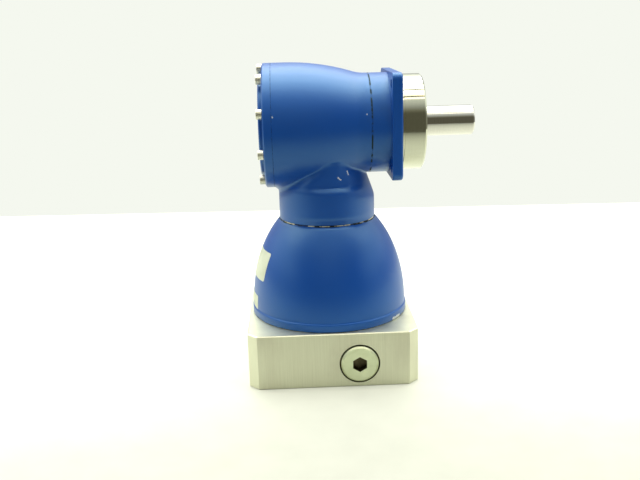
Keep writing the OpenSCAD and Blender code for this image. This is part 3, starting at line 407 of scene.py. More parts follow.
def paper_material():
    """Blank white sticker, a little yellowed."""
    s = Shader("blank_sticker", Metallic=0.0)
    fibre = s.noise(scale=900.0, detail=4.0)
    stain = s.noise(scale=70.0, detail=5.0)
    s.set("Base Color", s.tint(s.span(stain, *PAPER_STAIN_AT), PAPER_WHITE, PAPER_YELLOWED))
    s.set("Roughness", s.span(fibre, *MIDDLE, *PAPER_ROUGH))
    s.bump(fibre, strength=0.08, distance=0.05 * MM)
    return s.material


# Metals by the record's slot, as the arguments of their material

PLAIN_METALS = {
    "screw_zinc": ("zinc_plated_steel", rgb(230, 231, 216), rgb(210, 211, 196), 0.44),
    "screw_black": ("black_oxide_steel", rgb(52, 52, 54), rgb(32, 32, 34), 0.42, 0.8),
    "bearing_steel": ("ground_bearing_steel", rgb(208, 208, 206), rgb(186, 187, 188), 0.16),
    "spring_steel": ("phosphated_spring_steel", rgb(92, 89, 84), rgb(64, 62, 60), 0.45),
    "bare_steel": ("ground_steel", rgb(196, 195, 190), rgb(170, 169, 164), 0.32),
    "gear_steel": ("hardened_gear_steel", rgb(150, 147, 142), rgb(112, 110, 106), 0.30),
    "nut_steel": ("phosphated_nut_steel", rgb(96, 93, 88), rgb(70, 68, 65), 0.48),
    "cage_brass": ("machined_brass", rgb(206, 176, 108), rgb(180, 148, 82), 0.34),
}
TURNED_METALS = {
    "shaft_steel": ("polished_shaft", "X", rgb(222, 221, 214), rgb(196, 195, 188), 0.07),
    "hub_metal": ("turned_hub", "Z", rgb(216, 216, 212), rgb(194, 194, 190), 0.30),
    "bellows_steel": ("formed_bellows", "Z", rgb(208, 207, 202), rgb(184, 183, 178), 0.24),
}
PILOT_METAL = ("turned_pilot", "X", rgb(204, 206, 188), rgb(192, 194, 176), 0.1)
PILOT_DEPTH = 0.05
PLUG_METAL = ("plated_plug", rgb(220, 228, 196), rgb(204, 212, 178), 0.34)
# Dark brown that paints the shade in the plug's socket and in the recess round the plug
PAINTED_SHADE_METAL = ("painted_shade_socket", rgb(138, 128, 98), rgb(78, 72, 56), 0.5)


def slot_materials():
    """One material for each of the record's slots."""
    made = {"paint": paint_material(), "plate_metal": milled_material(), "rubber": rubber_material()}
    for slot, values in PLAIN_METALS.items():
        made[slot] = plain_metal(*values)
    for slot, values in TURNED_METALS.items():
        made[slot] = turned_material(*values)
    return made


def dress_nodes(finishes):
    """Give every CAD node the material of its slot."""
    for part in frame["record"]["subparts"]:
        node = nodes[part["node"]]
        node.data.materials.clear()
        node.data.materials.append(finishes[part["material_slot"]])


# Mesh helpers

SHARP_DEG = 32
WELD = 0.002 * MM
CUT_PAST = 1 * MM


def mesh_piece(name, points, faces):
    """New mesh object from points in metres."""
    mesh = bpy.data.meshes.new(name)
    mesh.from_pydata([tuple(p) for p in points], [], [tuple(f) for f in faces])
    piece = bpy.data.objects.new(name, mesh)
    bpy.context.scene.collection.objects.link(piece)
    return piece


def edit_mesh(piece, change):
    """Open a piece's mesh, change it and put it back."""
    work = bmesh.new()
    work.from_mesh(piece.data)
    change(work)
    work.to_mesh(piece.data)
    work.free()


def tidy_normals(piece):
    """Turn all faces outwards."""
    edit_mesh(piece, lambda work: bmesh.ops.recalc_face_normals(work, faces=work.faces))


def weld(piece):
    """Join the points that a CAD mesh repeats along its edges."""
    edit_mesh(piece, lambda work: bmesh.ops.remove_doubles(work, verts=work.verts, dist=WELD))


def smooth_by_angle(piece, degrees=SHARP_DEG):
    """Smooth shading with sharp edges where faces meet at more than an angle."""
    most = math.radians(degrees)

    def shade(work):
        for face in work.faces:
            face.smooth = True
        for edge in work.edges:
            edge.smooth = len(edge.link_faces) == 2 and edge.calc_face_angle() < most

    edit_mesh(piece, shade)


def on_axis(along, radius, angle, axis):
    """Point at a place along an axis, a radius and an angle round it."""
    c, s = radius * math.cos(angle), radius * math.sin(angle)
    return (along, c, OUT_Z + s) if axis == "X" else (c, s, along)


def turned_piece(name, profile, axis, segments):
    """Solid turned from (along, radius) points.

    The profile is a closed loop, or a run that starts and ends on the axis.
    """
    points, rings, faces = [], [], []
    for along, radius in profile:
        count = 1 if radius == 0 else segments
        rings.append([len(points) + i for i in range(count)])
        points += [on_axis(along, radius, 2 * math.pi * i / segments, axis) for i in range(count)]
    closed = profile[0][1] != 0
    for k in range(len(rings) if closed else len(rings) - 1):
        a, b = rings[k], rings[(k + 1) % len(rings)]
        for i in range(segments):
            j = (i + 1) % segments
            corners = [a[i % len(a)], a[j % len(a)], b[j % len(b)], b[i % len(b)]]
            faces.append(list(dict.fromkeys(corners)))
    piece = mesh_piece(name, points, faces)
    tidy_normals(piece)
    return piece


def combine(piece, other, operation):
    """Boolean of two pieces, kept in the first one."""
    modifier = piece.modifiers.new("combine", "BOOLEAN")
    modifier.operation = operation
    modifier.solver = "EXACT"
    modifier.object = other
    graph = bpy.context.evaluated_depsgraph_get()
    result = bpy.data.meshes.new_from_object(piece.evaluated_get(graph))
    piece.modifiers.clear()
    piece.data = result
    bpy.data.objects.remove(other)


def dress(piece, body, material, slot_name, *replaced):
    """Give a new piece its body and material, and hide the CAD nodes that it stands for. The slot name
    is not used.
    """
    piece.data.materials.clear()
    piece.data.materials.append(material)
    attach(piece, body)
    if replaced:
        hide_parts(*replaced)


# Curves of the castings, as (along, radius) points

def s_curve(x0, r0, x1, r1, share, steps):
    """Two tangent arcs from one radius to another; the first takes the given share of the radii."""
    length, drop = x1 - x0, r1 - r0
    sweep = 2 * math.atan2(abs(drop), length)
    total = length / math.sin(sweep)
    first, second = share * total, (1 - share) * total
    side = math.copysign(1, drop)
    run = []
    for i in range(steps + 1):
        t = sweep * i / steps
        run.append((x0 + first * math.sin(t), r0 + side * first * (1 - math.cos(t))))
    for i in range(1, steps + 1):
        t = sweep * (1 - i / steps)
        run.append((x1 - second * math.sin(t), r1 - side * second * (1 - math.cos(t))))
    return run


def lower_edge(centre_z, centre_r, radius, steps):
    """Quarter round lower edge of a profile turned round Z, from underneath to the side."""
    turns = [-math.pi / 2 + math.pi / 2 * i / steps for i in range(steps + 1)]
    return [(centre_z + radius * math.sin(t), centre_r + radius * math.cos(t)) for t in turns]


def spaced(run, step):
    """The same run with points no further apart than a step."""
    out = [run[0]]
    for (x0, r0), (x1, r1) in zip(run, run[1:]):
        count = max(1, math.ceil(math.hypot(x1 - x0, r1 - r0) / step))
        out += [(x0 + (x1 - x0) * k / count, r0 + (r1 - r0) * k / count) for k in range(1, count + 1)]
    return out


# Gear housing: barrel and neck blended by a casting fillet

SEAM_EDGE = 0.45 * MM
SEAM_KEEP = 1.1 * SEAM_EDGE
REAR_EDGE = 0.2 * MM
FRONT_EDGE = 0.2 * MM
BARREL_STRAIGHT_REAR = 10 * MM
BARREL_STRAIGHT_FRONT = 2 * MM
BARREL_FIRST_ARC = 0.84
BARREL_STEPS = 24
NECK_TOP_DOWN = 18 * MM

# The neck's front ridge with its shoulder, by the angle it faces and by height

AXIS_LEAST = 1 * MM
RIDGE_FACING = 0.05
RIDGE_FADE = (0.22, 0.45)
SWELL_FADE = (0.1, 0.95)
SWELL_H = 6 * MM
SHOULDER_UP = 27.6 * MM
SHOULDER_H = 3.6 * MM
SHOULDER_BEND = 1.15
SHOULDER_SWELL = 2.2 * MM
SHOULDER_STEP = 0.8 * MM

# The neck's sloping flanks, each from a (height, lean) line

OUTPUT_FLANK_FADE = (0.1, 0.68)
OUTPUT_FLANK_FROM = (23.7 * MM, -7.5 * MM)
OUTPUT_FLANK_SLOPE = 0.29
OUTPUT_EDGE_FADE = (0.7, 1)
OUTPUT_EDGE_SLOPE = 0.07
REAR_FLANK_FADE = (0.05, 0.35)
REAR_FLANK_FROM = (40 * MM, -21 * MM)
REAR_FLANK_SLOPE = 0.4
FLANK_ROUND = 1.4 * MM

# Fillet between neck and barrel

FILLET = 1.3 * MM
FILLET_REAR = 8.5 * MM
FILLET_OUTPUT = 3 * MM
FILLET_POWER = 4
FILLET_FADE = 5 * MM
FILLET_LEAST = 0.02
FILLET_TOP = 24 * MM

# How the skin is settled

SKIN_STEP = 1.0 * MM
SKIN_NUDGE = 0.02 * MM
SKIN_ROUNDS = 8
SKIN_PACE = 0.9
SLOPE_LEAST = 0.05
BARREL_SEGMENTS = 280
NECK_SEGMENTS = 240

# Inside of the housing

HOUSING_WALL = 8 * MM
GEAR_ROOM_END = 15.5 * MM
GEAR_ROOM_R = 31 * MM
FRONT_BORE_R = 21 * MM
BEARING_BORE_R = 23.5 * MM
BEARING_BORE_DOWN = 40 * MM
PINION_BORE_R = 18 * MM
PINION_BORE_DOWN = 10 * MM
BORE_SEGMENTS = 96

curve_from = REAR_SEAM + BARREL_STRAIGHT_REAR
curve_to = FRONT_SEAM - BARREL_STRAIGHT_FRONT
barrel_run = [(REAR_SEAM, BARREL_R - REAR_EDGE), (REAR_SEAM + REAR_EDGE, BARREL_R)]
barrel_run += s_curve(curve_from, BARREL_R, curve_to, FRONT_R, BARREL_FIRST_ARC, BARREL_STEPS)
barrel_run += [(FRONT_SEAM - FRONT_EDGE, FRONT_R), (FRONT_SEAM, FRONT_R - FRONT_EDGE)]

neck_run = [(NECK_FOOT, NECK_R - SEAM_EDGE), (NECK_FOOT + SEAM_EDGE, NECK_R)]
neck_run += [(OUT_Z - NECK_TOP_DOWN, NECK_R)]


def smooth_step(value, low, high):
    t = np.clip((value - low) / (high - low), 0, 1)
    return t * t * (3 - 2 * t)


def flank_ramp(up, start_and_lean, facing):
    """Height above the line where a flank starts, rounded at its start.

    The line drops as the flank turns away from the front.
    """
    start, lean = start_and_lean
    above = up - (start + lean * facing)
    return (above + np.hypot(above, FLANK_ROUND)) / 2


def neck_draw(x, y, z):
    """How far the neck is drawn in under the barrel.

    There is a shoulder on the front ridge and a sloping flank on each side of it.
    """
    facing = x / np.maximum(np.hypot(x, y), AXIS_LEAST) - RIDGE_FACING
    up = z - NECK_FOOT
    t = np.clip((up - SHOULDER_UP) / SHOULDER_H + 1, 0, 1) ** SHOULDER_BEND
    swell = SHOULDER_SWELL * smooth_step(up, 0, SWELL_H)
    swell = swell * (1 - smooth_step(abs(facing), *SWELL_FADE)) * (1 - t)
    ridge = SHOULDER_STEP * t * (1 - smooth_step(abs(facing), *RIDGE_FADE)) - swell
    slope = OUTPUT_FLANK_SLOPE + OUTPUT_EDGE_SLOPE * smooth_step(facing, *OUTPUT_EDGE_FADE)
    output_side = slope * smooth_step(facing, *OUTPUT_FLANK_FADE)
    output_side = output_side * flank_ramp(up, OUTPUT_FLANK_FROM, facing)
    rear_side = REAR_FLANK_SLOPE * smooth_step(-facing, *REAR_FLANK_FADE)
    rear_side = rear_side * flank_ramp(up, REAR_FLANK_FROM, -facing)
    return ridge + output_side + rear_side


def skin_field(points):
    """Signed distance, near enough, from the blended skin of barrel and neck."""
    x, y, z = points.T
    barrel = np.hypot(y, z - OUT_Z) - np.interp(x, *zip(*barrel_run))
    neck = np.hypot(x, y) - np.interp(z, *zip(*neck_run)) + neck_draw(x, y, z)
    neck = neck + np.maximum(0, z - (OUT_Z - FILLET_TOP))
    most = np.where(x < 0, FILLET_REAR, FILLET_OUTPUT)
    wide = FILLET + (most - FILLET) * np.clip(abs(x) / NECK_R, 0, 1) ** FILLET_POWER
    reach = wide * np.clip((FRONT_SEAM - x) / FILLET_FADE, FILLET_LEAST, 1)
    share = np.clip(0.5 + 0.5 * (neck - barrel) / reach, 0, 1)
    return neck * (1 - share) + barrel * share - reach * share * (1 - share)


def skin_slope(points):
    """Slope of the skin's field along the three axes."""
    slopes = []
    for unit in np.eye(3):
        ahead = skin_field(points + SKIN_NUDGE * unit)
        back = skin_field(points - SKIN_NUDGE * unit)
        slopes.append((ahead - back) / (2 * SKIN_NUDGE))
    return np.stack(slopes, axis=1)


def settle_on_skin(piece):
    """Move the vertices between the three joint faces onto the blended skin."""
    points = np.empty(len(piece.data.vertices) * 3)
    piece.data.vertices.foreach_get("co", points)
    points = points.reshape(-1, 3)
    inner = points[:, 0] > REAR_SEAM + SEAM_KEEP
    inner &= points[:, 0] < FRONT_SEAM - SEAM_KEEP
    inner &= points[:, 2] > NECK_FOOT + SEAM_KEEP
    moving = points[inner]
    for _ in range(SKIN_ROUNDS):
        value = skin_field(moving)
        slope = skin_slope(moving)
        size = np.maximum((slope ** 2).sum(1), SLOPE_LEAST)
        moving = moving - (SKIN_PACE * value / size)[:, None] * slope
    points[inner] = moving
    piece.data.vertices.foreach_set("co", points.ravel())
    piece.data.update()


def gear_housing_piece(material):
    """Barrel and neck as one casting, open inside."""
    skin = spaced(barrel_run, SKIN_STEP)
    skin = [(REAR_SEAM, 0)] + skin + [(FRONT_SEAM, 0)]
    piece = turned_piece("housing_casting", skin, "X", BARREL_SEGMENTS)
    stem = spaced(neck_run, SKIN_STEP)
    stem = [(NECK_FOOT, 0)] + stem + [(stem[-1][0], 0)]
    neck = turned_piece("neck_casting", stem, "Z", NECK_SEGMENTS)
    for vertex in neck.data.vertices:
        x, y, z = vertex.co
        shrink = 1 - neck_draw(x, y, z) / NECK_R
        vertex.co = (x * shrink, y * shrink, z)
    combine(piece, neck, "UNION")
    settle_on_skin(piece)
    hollow = [
        (REAR_SEAM - CUT_PAST, 0),
        (REAR_SEAM - CUT_PAST, BARREL_R - HOUSING_WALL),
        (0, BARREL_R - HOUSING_WALL),
        (GEAR_ROOM_END, GEAR_ROOM_R),
        (GEAR_ROOM_END, FRONT_BORE_R),
        (FRONT_SEAM + CUT_PAST, FRONT_BORE_R),
        (FRONT_SEAM + CUT_PAST, 0),
    ]
    combine(piece, turned_piece("hollow", hollow, "X", BORE_SEGMENTS), "DIFFERENCE")
    bore = [
        (NECK_FOOT - CUT_PAST, 0),
        (NECK_FOOT - CUT_PAST, BEARING_BORE_R),
        (OUT_Z - BEARING_BORE_DOWN, BEARING_BORE_R),
        (OUT_Z - BEARING_BORE_DOWN, PINION_BORE_R),
        (OUT_Z - PINION_BORE_DOWN, PINION_BORE_R),
        (OUT_Z - PINION_BORE_DOWN, 0),
    ]
    combine(piece, turned_piece("bore", bore, "Z", BORE_SEGMENTS), "DIFFERENCE")
    smooth_by_angle(piece)
    dress(piece, "housing", material, "paint", "gear_housing")


# Bell: one turned casting with a raised rim

RIM_H = 6 * MM
RIM_STEP = 0.8 * MM
RIM_EDGE = 0.7 * MM
RIM_EDGE_STEPS = 4
RIM_RAMP = 0.9 * MM
RIM_RAMP_STEPS = 5
RIM_FIRST_ARC = 0.5
RIM_LEDGE = 1 * MM
BELL_WALL = 6 * MM
BELL_OVER_NECK = 0.5 * MM
BELL_TOP_FALL = 0.1 * MM
FOOT_H = 14 * MM
FOOT_RISE = 3 * MM
FOOT_BORE_R = 44 * MM
FOOT_SPIGOT_R = 47.95 * MM
ROOF_T = 9.5 * MM
TOP_SPIGOT_R = 23.4 * MM
NUT_RECESS_R = 19 * MM
SEAL_BORE_R = 17.5 * MM
SEAL_BORE_H = 6 * MM
WALL_STEPS = 48
INSIDE_STEPS = 16
BELL_SEGMENTS = 192

rim_top = PLATE_TOP + RIM_H
bell_base_z = rim_top + RIM_LEDGE
bell_base_r = BELL_RIM_R - RIM_STEP
bell_top_r = NECK_R + BELL_OVER_NECK
bell_sweep = math.acos(bell_top_r / bell_base_r)
bell_rise = (BELL_TOP - bell_base_z) / math.sin(bell_sweep)


def bell_radius(z):
    """Outer radius of the bell's wall at a height."""
    return bell_base_r * math.sqrt(1 - ((z - bell_base_z) / bell_rise) ** 2)


def bell_piece(material):
    """Bell from its foot, up the outside, down through the roof and along the inside of its wall."""
    foot_top = PLATE_TOP + FOOT_H
    roof_z = BELL_TOP - ROOF_T
    seal_top = roof_z + SEAL_BORE_H
    profile = [(bell_low.z, FOOT_BORE_R), (bell_low.z, FOOT_SPIGOT_R), (PLATE_TOP, FOOT_SPIGOT_R)]
    profile += lower_edge(PLATE_TOP + RIM_EDGE, BELL_RIM_R - RIM_EDGE, RIM_EDGE, RIM_EDGE_STEPS)
    ramp_from, ramp_to = rim_top - RIM_RAMP, rim_top + RIM_RAMP
    profile += s_curve(ramp_from, BELL_RIM_R, ramp_to, bell_base_r, RIM_FIRST_ARC, RIM_RAMP_STEPS)
    wall = [bell_sweep * i / WALL_STEPS for i in range(WALL_STEPS)]
    profile += [(bell_base_z + bell_rise * math.sin(t), bell_base_r * math.cos(t)) for t in wall]
    profile += [(BELL_TOP - SEAM_EDGE, bell_top_r + BELL_TOP_FALL), (BELL_TOP, bell_top_r - SEAM_EDGE)]
    profile += [(BELL_TOP, TOP_SPIGOT_R), (bell_high.z, TOP_SPIGOT_R), (bell_high.z, NUT_RECESS_R)]
    profile += [(seal_top, NUT_RECESS_R), (seal_top, SEAL_BORE_R), (roof_z, SEAL_BORE_R)]
    for i in range(INSIDE_STEPS + 1):
        z = roof_z + (foot_top + FOOT_RISE - roof_z) * i / INSIDE_STEPS
        profile.append((z, bell_radius(z) - BELL_WALL))
    profile.append((foot_top, FOOT_BORE_R))
    piece = turned_piece("bell_casting", profile, "Z", BELL_SEGMENTS)
    smooth_by_angle(piece)
    dress(piece, "housing", material, "paint", "adapter_bell")


# Blank stickers on the bell, as (name, angle in degrees, height of its middle, width, height)

STICKERS = [
    ("label_blank", -167.5, 81.5 * MM, 32 * MM, 21 * MM),
    ("label_blank_small", -172.0, 52.5 * MM, 26 * MM, 11 * MM),
]
STICKER_T = 0.12 * MM
STICKER_LIFT = 0.02 * MM
STICKER_CORNER = 1.5 * MM
STICKER_COLUMNS = 28
STICKER_ROWS = 20
STICKER_SHARP_DEG = 40


def sticker_points(middle_deg, middle_z, width, height):
    """Points of the sheet's lower and upper layer, row by row, with round corners."""
    middle = math.radians(middle_deg)
    points = []
    for layer in (STICKER_LIFT, STICKER_LIFT + STICKER_T):
        for j in range(STICKER_ROWS + 1):
            v = -math.cos(math.pi * j / STICKER_ROWS) * height / 2
            past = max(0.0, abs(v) - (height / 2 - STICKER_CORNER))
            round_half = math.sqrt(max(0.0, STICKER_CORNER ** 2 - past ** 2))
            half = width / 2 - STICKER_CORNER + round_half
            z = middle_z + v
            radius = bell_radius(z) + layer
            for i in range(STICKER_COLUMNS + 1):
                u = (2 * i / STICKER_COLUMNS - 1) * half
                points.append(on_axis(z, radius, middle + u / radius, "Z"))
    return points


def sticker(name, middle_deg, middle_z, width, height, material):
    """Thin sheet with round corners that follows the bell's wall."""
    columns, rows = STICKER_COLUMNS, STICKER_ROWS
    points = sticker_points(middle_deg, middle_z, width, height)
    side = len(points) // 2
    faces = []
    for j in range(rows):
        for i in range(columns):
            a = j * (columns + 1) + i
            b, c, d = a + 1, a + columns + 2, a + columns + 1
            faces += [(a + side, b + side, c + side, d + side), (d, c, b, a)]
    edge = list(range(columns + 1))
    edge += [j * (columns + 1) + columns for j in range(1, rows + 1)]
    edge += [rows * (columns + 1) + i for i in range(columns - 1, -1, -1)]
    edge += [j * (columns + 1) for j in range(rows - 1, 0, -1)]
    for a, b in zip(edge, edge[1:] + edge[:1]):
        faces.append((a, b, b + side, a + side))
    piece = mesh_piece(name, points, faces)
    tidy_normals(piece)
    smooth_by_angle(piece, STICKER_SHARP_DEG)
    dress(piece, "housing", material, "paint")


# Output flange: the CAD solid with the rounded edges of a casting

FLANGE_CORNER = 5 * MM
FLANGE_BACK_EDGE = 0.6 * MM
FLANGE_FRONT_EDGE = 1.8 * MM
FLANGE_T = 7.5 * MM
CORNER_STEPS = 8
EDGE_STEPS = 6
CORE_R = 37.3 * MM
CORE_SEGMENTS = 160
CLEAR = 0.02 * MM
BARE_PILOT_R = 35.5 * MM
BARE_BORE_R = 31.5 * MM
BARE_BEHIND = 0.5 * MM


def rounded_square(half, corner):
    """Outline of a square with round corners, as (y, z) points round the output axis."""
    inner = half - corner
    outline = []
    for turn, (y, z) in enumerate(((1, 1), (-1, 1), (-1, -1), (1, -1))):
        for i in range(CORNER_STEPS + 1):
            angle = math.pi / 2 * (turn + i / CORNER_STEPS)
            outline.append((inner * y + corner * math.cos(angle), inner * z + corner * math.sin(angle)))
    return outline


def rounded_block(name, back, front, half):
    """Square block across the output axis, rounded at its corners and along its edges."""
    turns = [math.pi / 2 * i / EDGE_STEPS for i in range(EDGE_STEPS + 1)]
    sections = []
    for angle in turns:
        inset = FLANGE_BACK_EDGE * (1 - math.sin(angle))
        sections.append((back + FLANGE_BACK_EDGE * (1 - math.cos(angle)), inset))
    for angle in turns:
        inset = FLANGE_FRONT_EDGE * (1 - math.cos(angle))
        sections.append((front - FLANGE_FRONT_EDGE * (1 - math.sin(angle)), inset))
    points, faces = [], []
    for x, inset in sections:
        points += [(x, y, OUT_Z + z) for y, z in rounded_square(half - inset, FLANGE_CORNER - inset)]
    count = len(points) // len(sections)
    for k in range(len(sections) - 1):
        for i in range(count):
            j = (i + 1) % count
            faces.append((k * count + i, k * count + j, (k + 1) * count + j, (k + 1) * count + i))
    faces.append(range(count))
    faces.append(range(len(points) - count, len(points)))
    piece = mesh_piece(name, points, faces)
    tidy_normals(piece)
    return piece


def bare_pilot(mesh, face_x, material):
    """Bare metal on the pilot and in the bore; the rest of the flange is painted."""
    mesh.materials.append(material)
    for polygon in mesh.polygons:
        x, y, z = polygon.center
        radius = math.hypot(y, z - OUT_Z)
        front = x > face_x - BARE_BEHIND and radius < BARE_PILOT_R
        polygon.material_index = 1 if front or radius < BARE_BORE_R else 0


def flange_piece(paint, bare):
    """The CAD flange, trimmed by a rounded block and by a core that holds its neck and pilot."""
    mesh = nodes["output_flange"].data.copy()
    piece = bpy.data.objects.new("flange_casting", mesh)
    bpy.context.scene.collection.objects.link(piece)
    weld(piece)
    mounts = {mount["name"]: mount for mount in frame["record"]["mounts"]}
    face_x = mounts["output_flange_face"]["pos_m"][0]
    trim = rounded_block("trim", face_x - FLANGE_T - CLEAR, face_x + CLEAR, FLANGE_HALF + CLEAR)
    rear, front = flange_low.x - CUT_PAST, flange_high.x + CUT_PAST
    profile = [(rear, 0), (rear, CORE_R), (front, CORE_R), (front, 0)]
    core = turned_piece("core", profile, "X", CORE_SEGMENTS)
    combine(trim, core, "UNION")
    combine(piece, trim, "INTERSECT")
    smooth_by_angle(piece)
    dress(piece, "housing", paint, "paint", "output_flange")
    bare_pilot(piece.data, face_x, bare)


# Access plug and its recess, darkened with painted shade

SOCKET_R = 5.6 * MM
SOCKET_FROM = 0.3 * MM
RECESS_R = 15.2 * MM
RECESS_FROM = 0.2 * MM
RECESS_TO = 8 * MM

plug_x = (plug_low.x + plug_high.x) / 2
plug_z = (plug_low.z + plug_high.z) / 2


def painted_shade_socket(head, shade_finish):
    """Plug with its own finish and a hexagon socket darkened with painted shade."""
    mesh = nodes["access_plug"].data
    mesh.materials.clear()
    mesh.materials.append(head)
    mesh.materials.append(shade_finish)
    for polygon in mesh.polygons:
        x, y, z = polygon.center
        inside = math.hypot(x - plug_x, z - plug_z) < SOCKET_R and y > plug_low.y + SOCKET_FROM
        polygon.material_index = 1 if inside else 0


def painted_shade_recess(shade_finish):
    """Painted shade on the plate's recess round the plug."""
    mesh = nodes["adapter_plate"].data
    mesh.materials.append(shade_finish)
    for polygon in mesh.polygons:
        x, y, z = polygon.center
        deep = plate_low.y + RECESS_FROM < y < plate_low.y + RECESS_TO
        if deep and math.hypot(x - plug_x, z - plug_z) < RECESS_R:
            polygon.material_index = 1


# Floor

FLOOR_BACK_LEFT = 0.585
FLOOR_BACK_RIGHT = 0.462
FLOOR_FRONT = -0.52
FLOOR_SIDE = 1.1
# Painted shade: the table's colour darkens towards the viewer, standing in for the falloff of the light
FLOOR_PAINTED_SHADE_FROM = 0.0
FLOOR_PAINTED_SHADE = 0.92
FLOOR_LIFT_AT = (-0.15, 0.15)
FLOOR_LIFT_NEAR = 0.03
FLOOR_LIFT_FAR = 0.4
FLOOR_LIFT_FRONT = 0.85
FLOOR_LIFT_FRONT_TO = -0.2
TABLE_DARK = rgb(214, 215, 200)
TABLE_LIGHT = rgb(220, 221, 206)
TABLE_PAINTED_SHADE = rgb(90, 90, 82)
TABLE_WHITE = rgb(253, 255, 247)


def floor_material():
    """Matt white table top, with painted shade that darkens it towards the viewer.

    A camera ray sees it lifted to the photograph's white.
    """
    s = Shader("white_table", Metallic=0.0, Roughness=0.6)
    paper = s.noise(scale=40.0, detail=4.0)
    base = s.tint(s.span(paper, *MIDDLE), TABLE_DARK, TABLE_LIGHT)
    depth = s.axis("Y")
    # Painted shade towards the viewer, for the light's falloff
    dim = s.span(depth, FLOOR_FRONT, FLOOR_PAINTED_SHADE_FROM, FLOOR_PAINTED_SHADE, 0.0)
    s.set("Base Color", s.tint(dim, base, TABLE_PAINTED_SHADE))
    seen = s.add("LightPath").outputs["Is Camera Ray"]
    s.set("Emission Color", TABLE_WHITE)
    lift = s.span(depth, *FLOOR_LIFT_AT, FLOOR_LIFT_NEAR, FLOOR_LIFT_FAR)
    front = s.span(depth, FLOOR_FRONT, FLOOR_LIFT_FRONT_TO, FLOOR_LIFT_FRONT, 0.0)
    s.set("Emission Strength", s.math("MULTIPLY", seen, s.math("ADD", lift, front)))
    return s.material


def add_floor():
    """Table top, whose far edge runs a little askew."""
    corners = [
        (-FLOOR_SIDE, FLOOR_FRONT, 0),
        (FLOOR_SIDE, FLOOR_FRONT, 0),
        (FLOOR_SIDE, FLOOR_BACK_RIGHT, 0),
        (-FLOOR_SIDE, FLOOR_BACK_LEFT, 0),
    ]
    floor = mesh_piece("table_top", corners, [(0, 1, 2, 3)])
    floor.data.materials.append(floor_material())


# World: strengths, and the ranges of direction over which they fade

SKY_TOP = 1.25
SKY_TOP_RISE = (0.4, 0.85)
SKY_TOP_DEPTH = (-0.9, 0.1)
SKY_TOP_FRONT = 0.5
SKY_BACK = 1.45
SKY_BACK_DEPTH = (-0.2, 0.6)
SKY_BACK_RISE = (0.1, 0.6)
SKY_BACK_LOW = 0.3
SKY_SIDE = 0.9
SKY_SIDE_REACH = (0.65, 0.95)
SKY_SIDE_RISE = (0.05, 0.25)
SKY_SIDE_FALL = (0.4, 0.7)
SKY_NEAR = 0.13
SKY_BRIGHT = 4 * SKY_NEAR
SKY_DIM_COLOUR = rgb(255, 250, 216)
SKY_COLOUR = rgb(245, 248, 239)
BACKDROP = 1.0

# Gaps between the overhead panels: slopes seen from the output axis, and a shift in metres

PANEL_FIRST = -0.052
PANEL_PITCH = 0.355
PANEL_SHIFT = -0.023
PANEL_GAP = 0.08
PANEL_GAP_DARK = 0.75
PANEL_RISE = (0.8, 0.88)
PANEL_LEAST_Z = 0.1


def add_world():
    """Pale backdrop for camera rays; for the light, bright above and behind, dim towards the viewer."""
    world = bpy.data.worlds.new("studio")
    world.use_nodes = True
    bpy.context.scene.world = world
    n = Nodes(world.node_tree)

    def fade(value, ends, to_low=0.0, to_high=1.0):
        return n.span(value, *ends, to_low, to_high, "SMOOTHSTEP")

    direction = n.parts(n.add("TexCoord").outputs["Generated"])
    x, y, z = direction["X"], direction["Y"], direction["Z"]
    above = n.math("MULTIPLY", fade(z, SKY_TOP_RISE), fade(y, SKY_TOP_DEPTH, SKY_TOP_FRONT))
    behind = n.math("MULTIPLY", fade(y, SKY_BACK_DEPTH), fade(z, SKY_BACK_RISE, SKY_BACK_LOW))
    beside = fade(n.math("ABSOLUTE", x), SKY_SIDE_REACH, 0.0, SKY_SIDE)
    beside = n.math("MULTIPLY", beside, fade(z, SKY_SIDE_RISE))
    beside = n.math("MULTIPLY", beside, fade(z, SKY_SIDE_FALL, 1.0, 0.0))
    glow = n.math("MULTIPLY", above, SKY_TOP)
    glow = n.math("ADD", glow, n.math("MULTIPLY", behind, SKY_BACK))
    glow = n.math("ADD", glow, n.math("ADD", beside, SKY_NEAR))
    lean = n.math("DIVIDE", y, n.math("MAXIMUM", z, PANEL_LEAST_Z))
    turns = n.math("DIVIDE", n.math("SUBTRACT", lean, PANEL_FIRST), PANEL_PITCH)
    off = n.math("ABSOLUTE", n.math("SUBTRACT", turns, n.math("ROUND", turns)))
    gap_ends = (0.5 * PANEL_GAP / PANEL_PITCH, PANEL_GAP / PANEL_PITCH)
    gap = fade(off, gap_ends, 1.0, 0.0)
    gap = n.math("MULTIPLY", gap, fade(z, PANEL_RISE, 0.0, PANEL_GAP_DARK))
    glow = n.math("MULTIPLY", glow, n.math("SUBTRACT", 1.0, gap))
    seen = n.add("LightPath").outputs["Is Camera Ray"]
    strength = n.blend(seen, glow, BACKDROP)
    bright = fade(strength, (SKY_NEAR, SKY_BRIGHT))
    background = n.tree.nodes["Background"]
    n.feed(background.inputs["Strength"], strength)
    n.feed(background.inputs["Color"], n.tint(bright, SKY_DIM_COLOUR, SKY_COLOUR))


# Lights: rows of panels above, and fills as (name, place, power)

OVERHEAD = {"middle": 0.47, "height": 1.18, "width": 1.5, "depth": 1.35, "power": 15.0}
SHEEN = {"middle": -0.02, "height": 0.55, "width": 1.5, "depth": 0.41, "power": 3.4}
SHEEN_COLOUR = (1.0, 0.86, 0.66)
WHITE = (1.0, 1.0, 1.0)
FILLS = [
    ("fill_left", (-1.2, -0.3, 0.6), 3.4),
    ("fill_right", (1.2, -0.3, 0.6), 5.0),
    ("fill_front", (0.0, -1.3, 0.8), 2.4),
]
FILL_TARGET = (0, 0, 0.12)
FILL_SIZE = (0.8, 0.8)


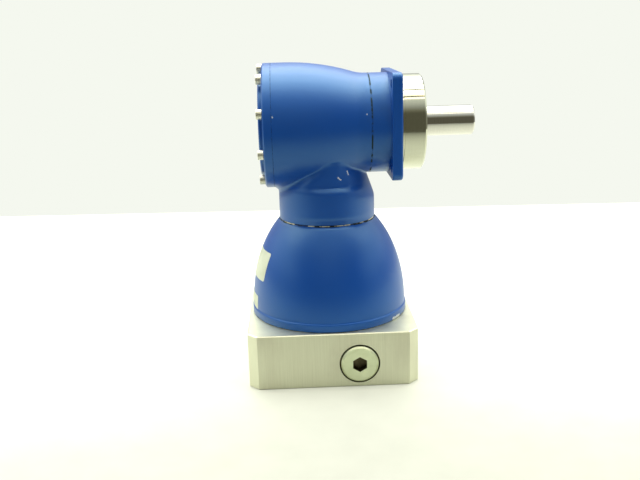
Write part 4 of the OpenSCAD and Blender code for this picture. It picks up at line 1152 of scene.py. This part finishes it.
def add_light(name, place, target, size, power, mirrored=True, lighting=True, colour=WHITE):
    """Soft rectangle of light; it can be left out of reflections, or shown in reflections alone."""
    data = bpy.data.lights.new(name, "AREA")
    data.shape = "RECTANGLE"
    data.size, data.size_y = size
    data.energy = power
    data.color = colour
    light = bpy.data.objects.new(name, data)
    light.location = place
    light.visible_camera = False
    light.visible_glossy = mirrored
    light.visible_diffuse = lighting
    light.rotation_euler = (Vector(target) - Vector(place)).to_track_quat("-Z", "Y").to_euler()
    bpy.context.scene.collection.objects.link(light)


def add_panels(name, middle, height, width, depth, power, **settings):
    """Row of flat lights over the output axis, with narrow gaps at even steps."""
    drop = height - OUT_Z
    pitch, gap = PANEL_PITCH * drop, PANEL_GAP * drop
    first = PANEL_FIRST * drop + PANEL_SHIFT
    near, far = middle - depth / 2, middle + depth / 2
    edges = [near, far]
    k = math.ceil((near - first) / pitch)
    while first + k * pitch < far:
        edges += [first + k * pitch - gap / 2, first + k * pitch + gap / 2]
        k += 1
    edges.sort()
    panels = list(zip(edges[::2], edges[1::2]))
    lit = sum(b - a for a, b in panels)
    for i, (a, b) in enumerate(panels):
        y = (a + b) / 2
        share = (b - a) / lit
        add_light(f"{name}_{i}", (0, y, height), (0, y, 0), (width, b - a), power * share, **settings)


# Build

finishes = slot_materials()
dress_nodes(finishes)
gear_housing_piece(finishes["paint"])
bell_piece(finishes["paint"])
flange_piece(finishes["paint"], turned_material(*PILOT_METAL, depth=PILOT_DEPTH))
# Painted shade for the plug's socket and the plate's recess
painted_shade_metal = plain_metal(*PAINTED_SHADE_METAL)
painted_shade_socket(plain_metal(*PLUG_METAL), painted_shade_metal)
painted_shade_recess(painted_shade_metal)
nodes["neck_shim"].data.materials[0] = shim_material()
paper = paper_material()
for label in STICKERS:
    sticker(*label, paper)

add_floor()
add_world()
add_panels("overhead", **OVERHEAD)
add_panels("sheen", **SHEEN, lighting=False, colour=SHEEN_COLOUR)
for fill_name, fill_place, fill_power in FILLS:
    add_light(fill_name, fill_place, FILL_TARGET, FILL_SIZE, fill_power, mirrored=False)
add_camera()

bpy.context.scene.view_settings.view_transform = "Standard"
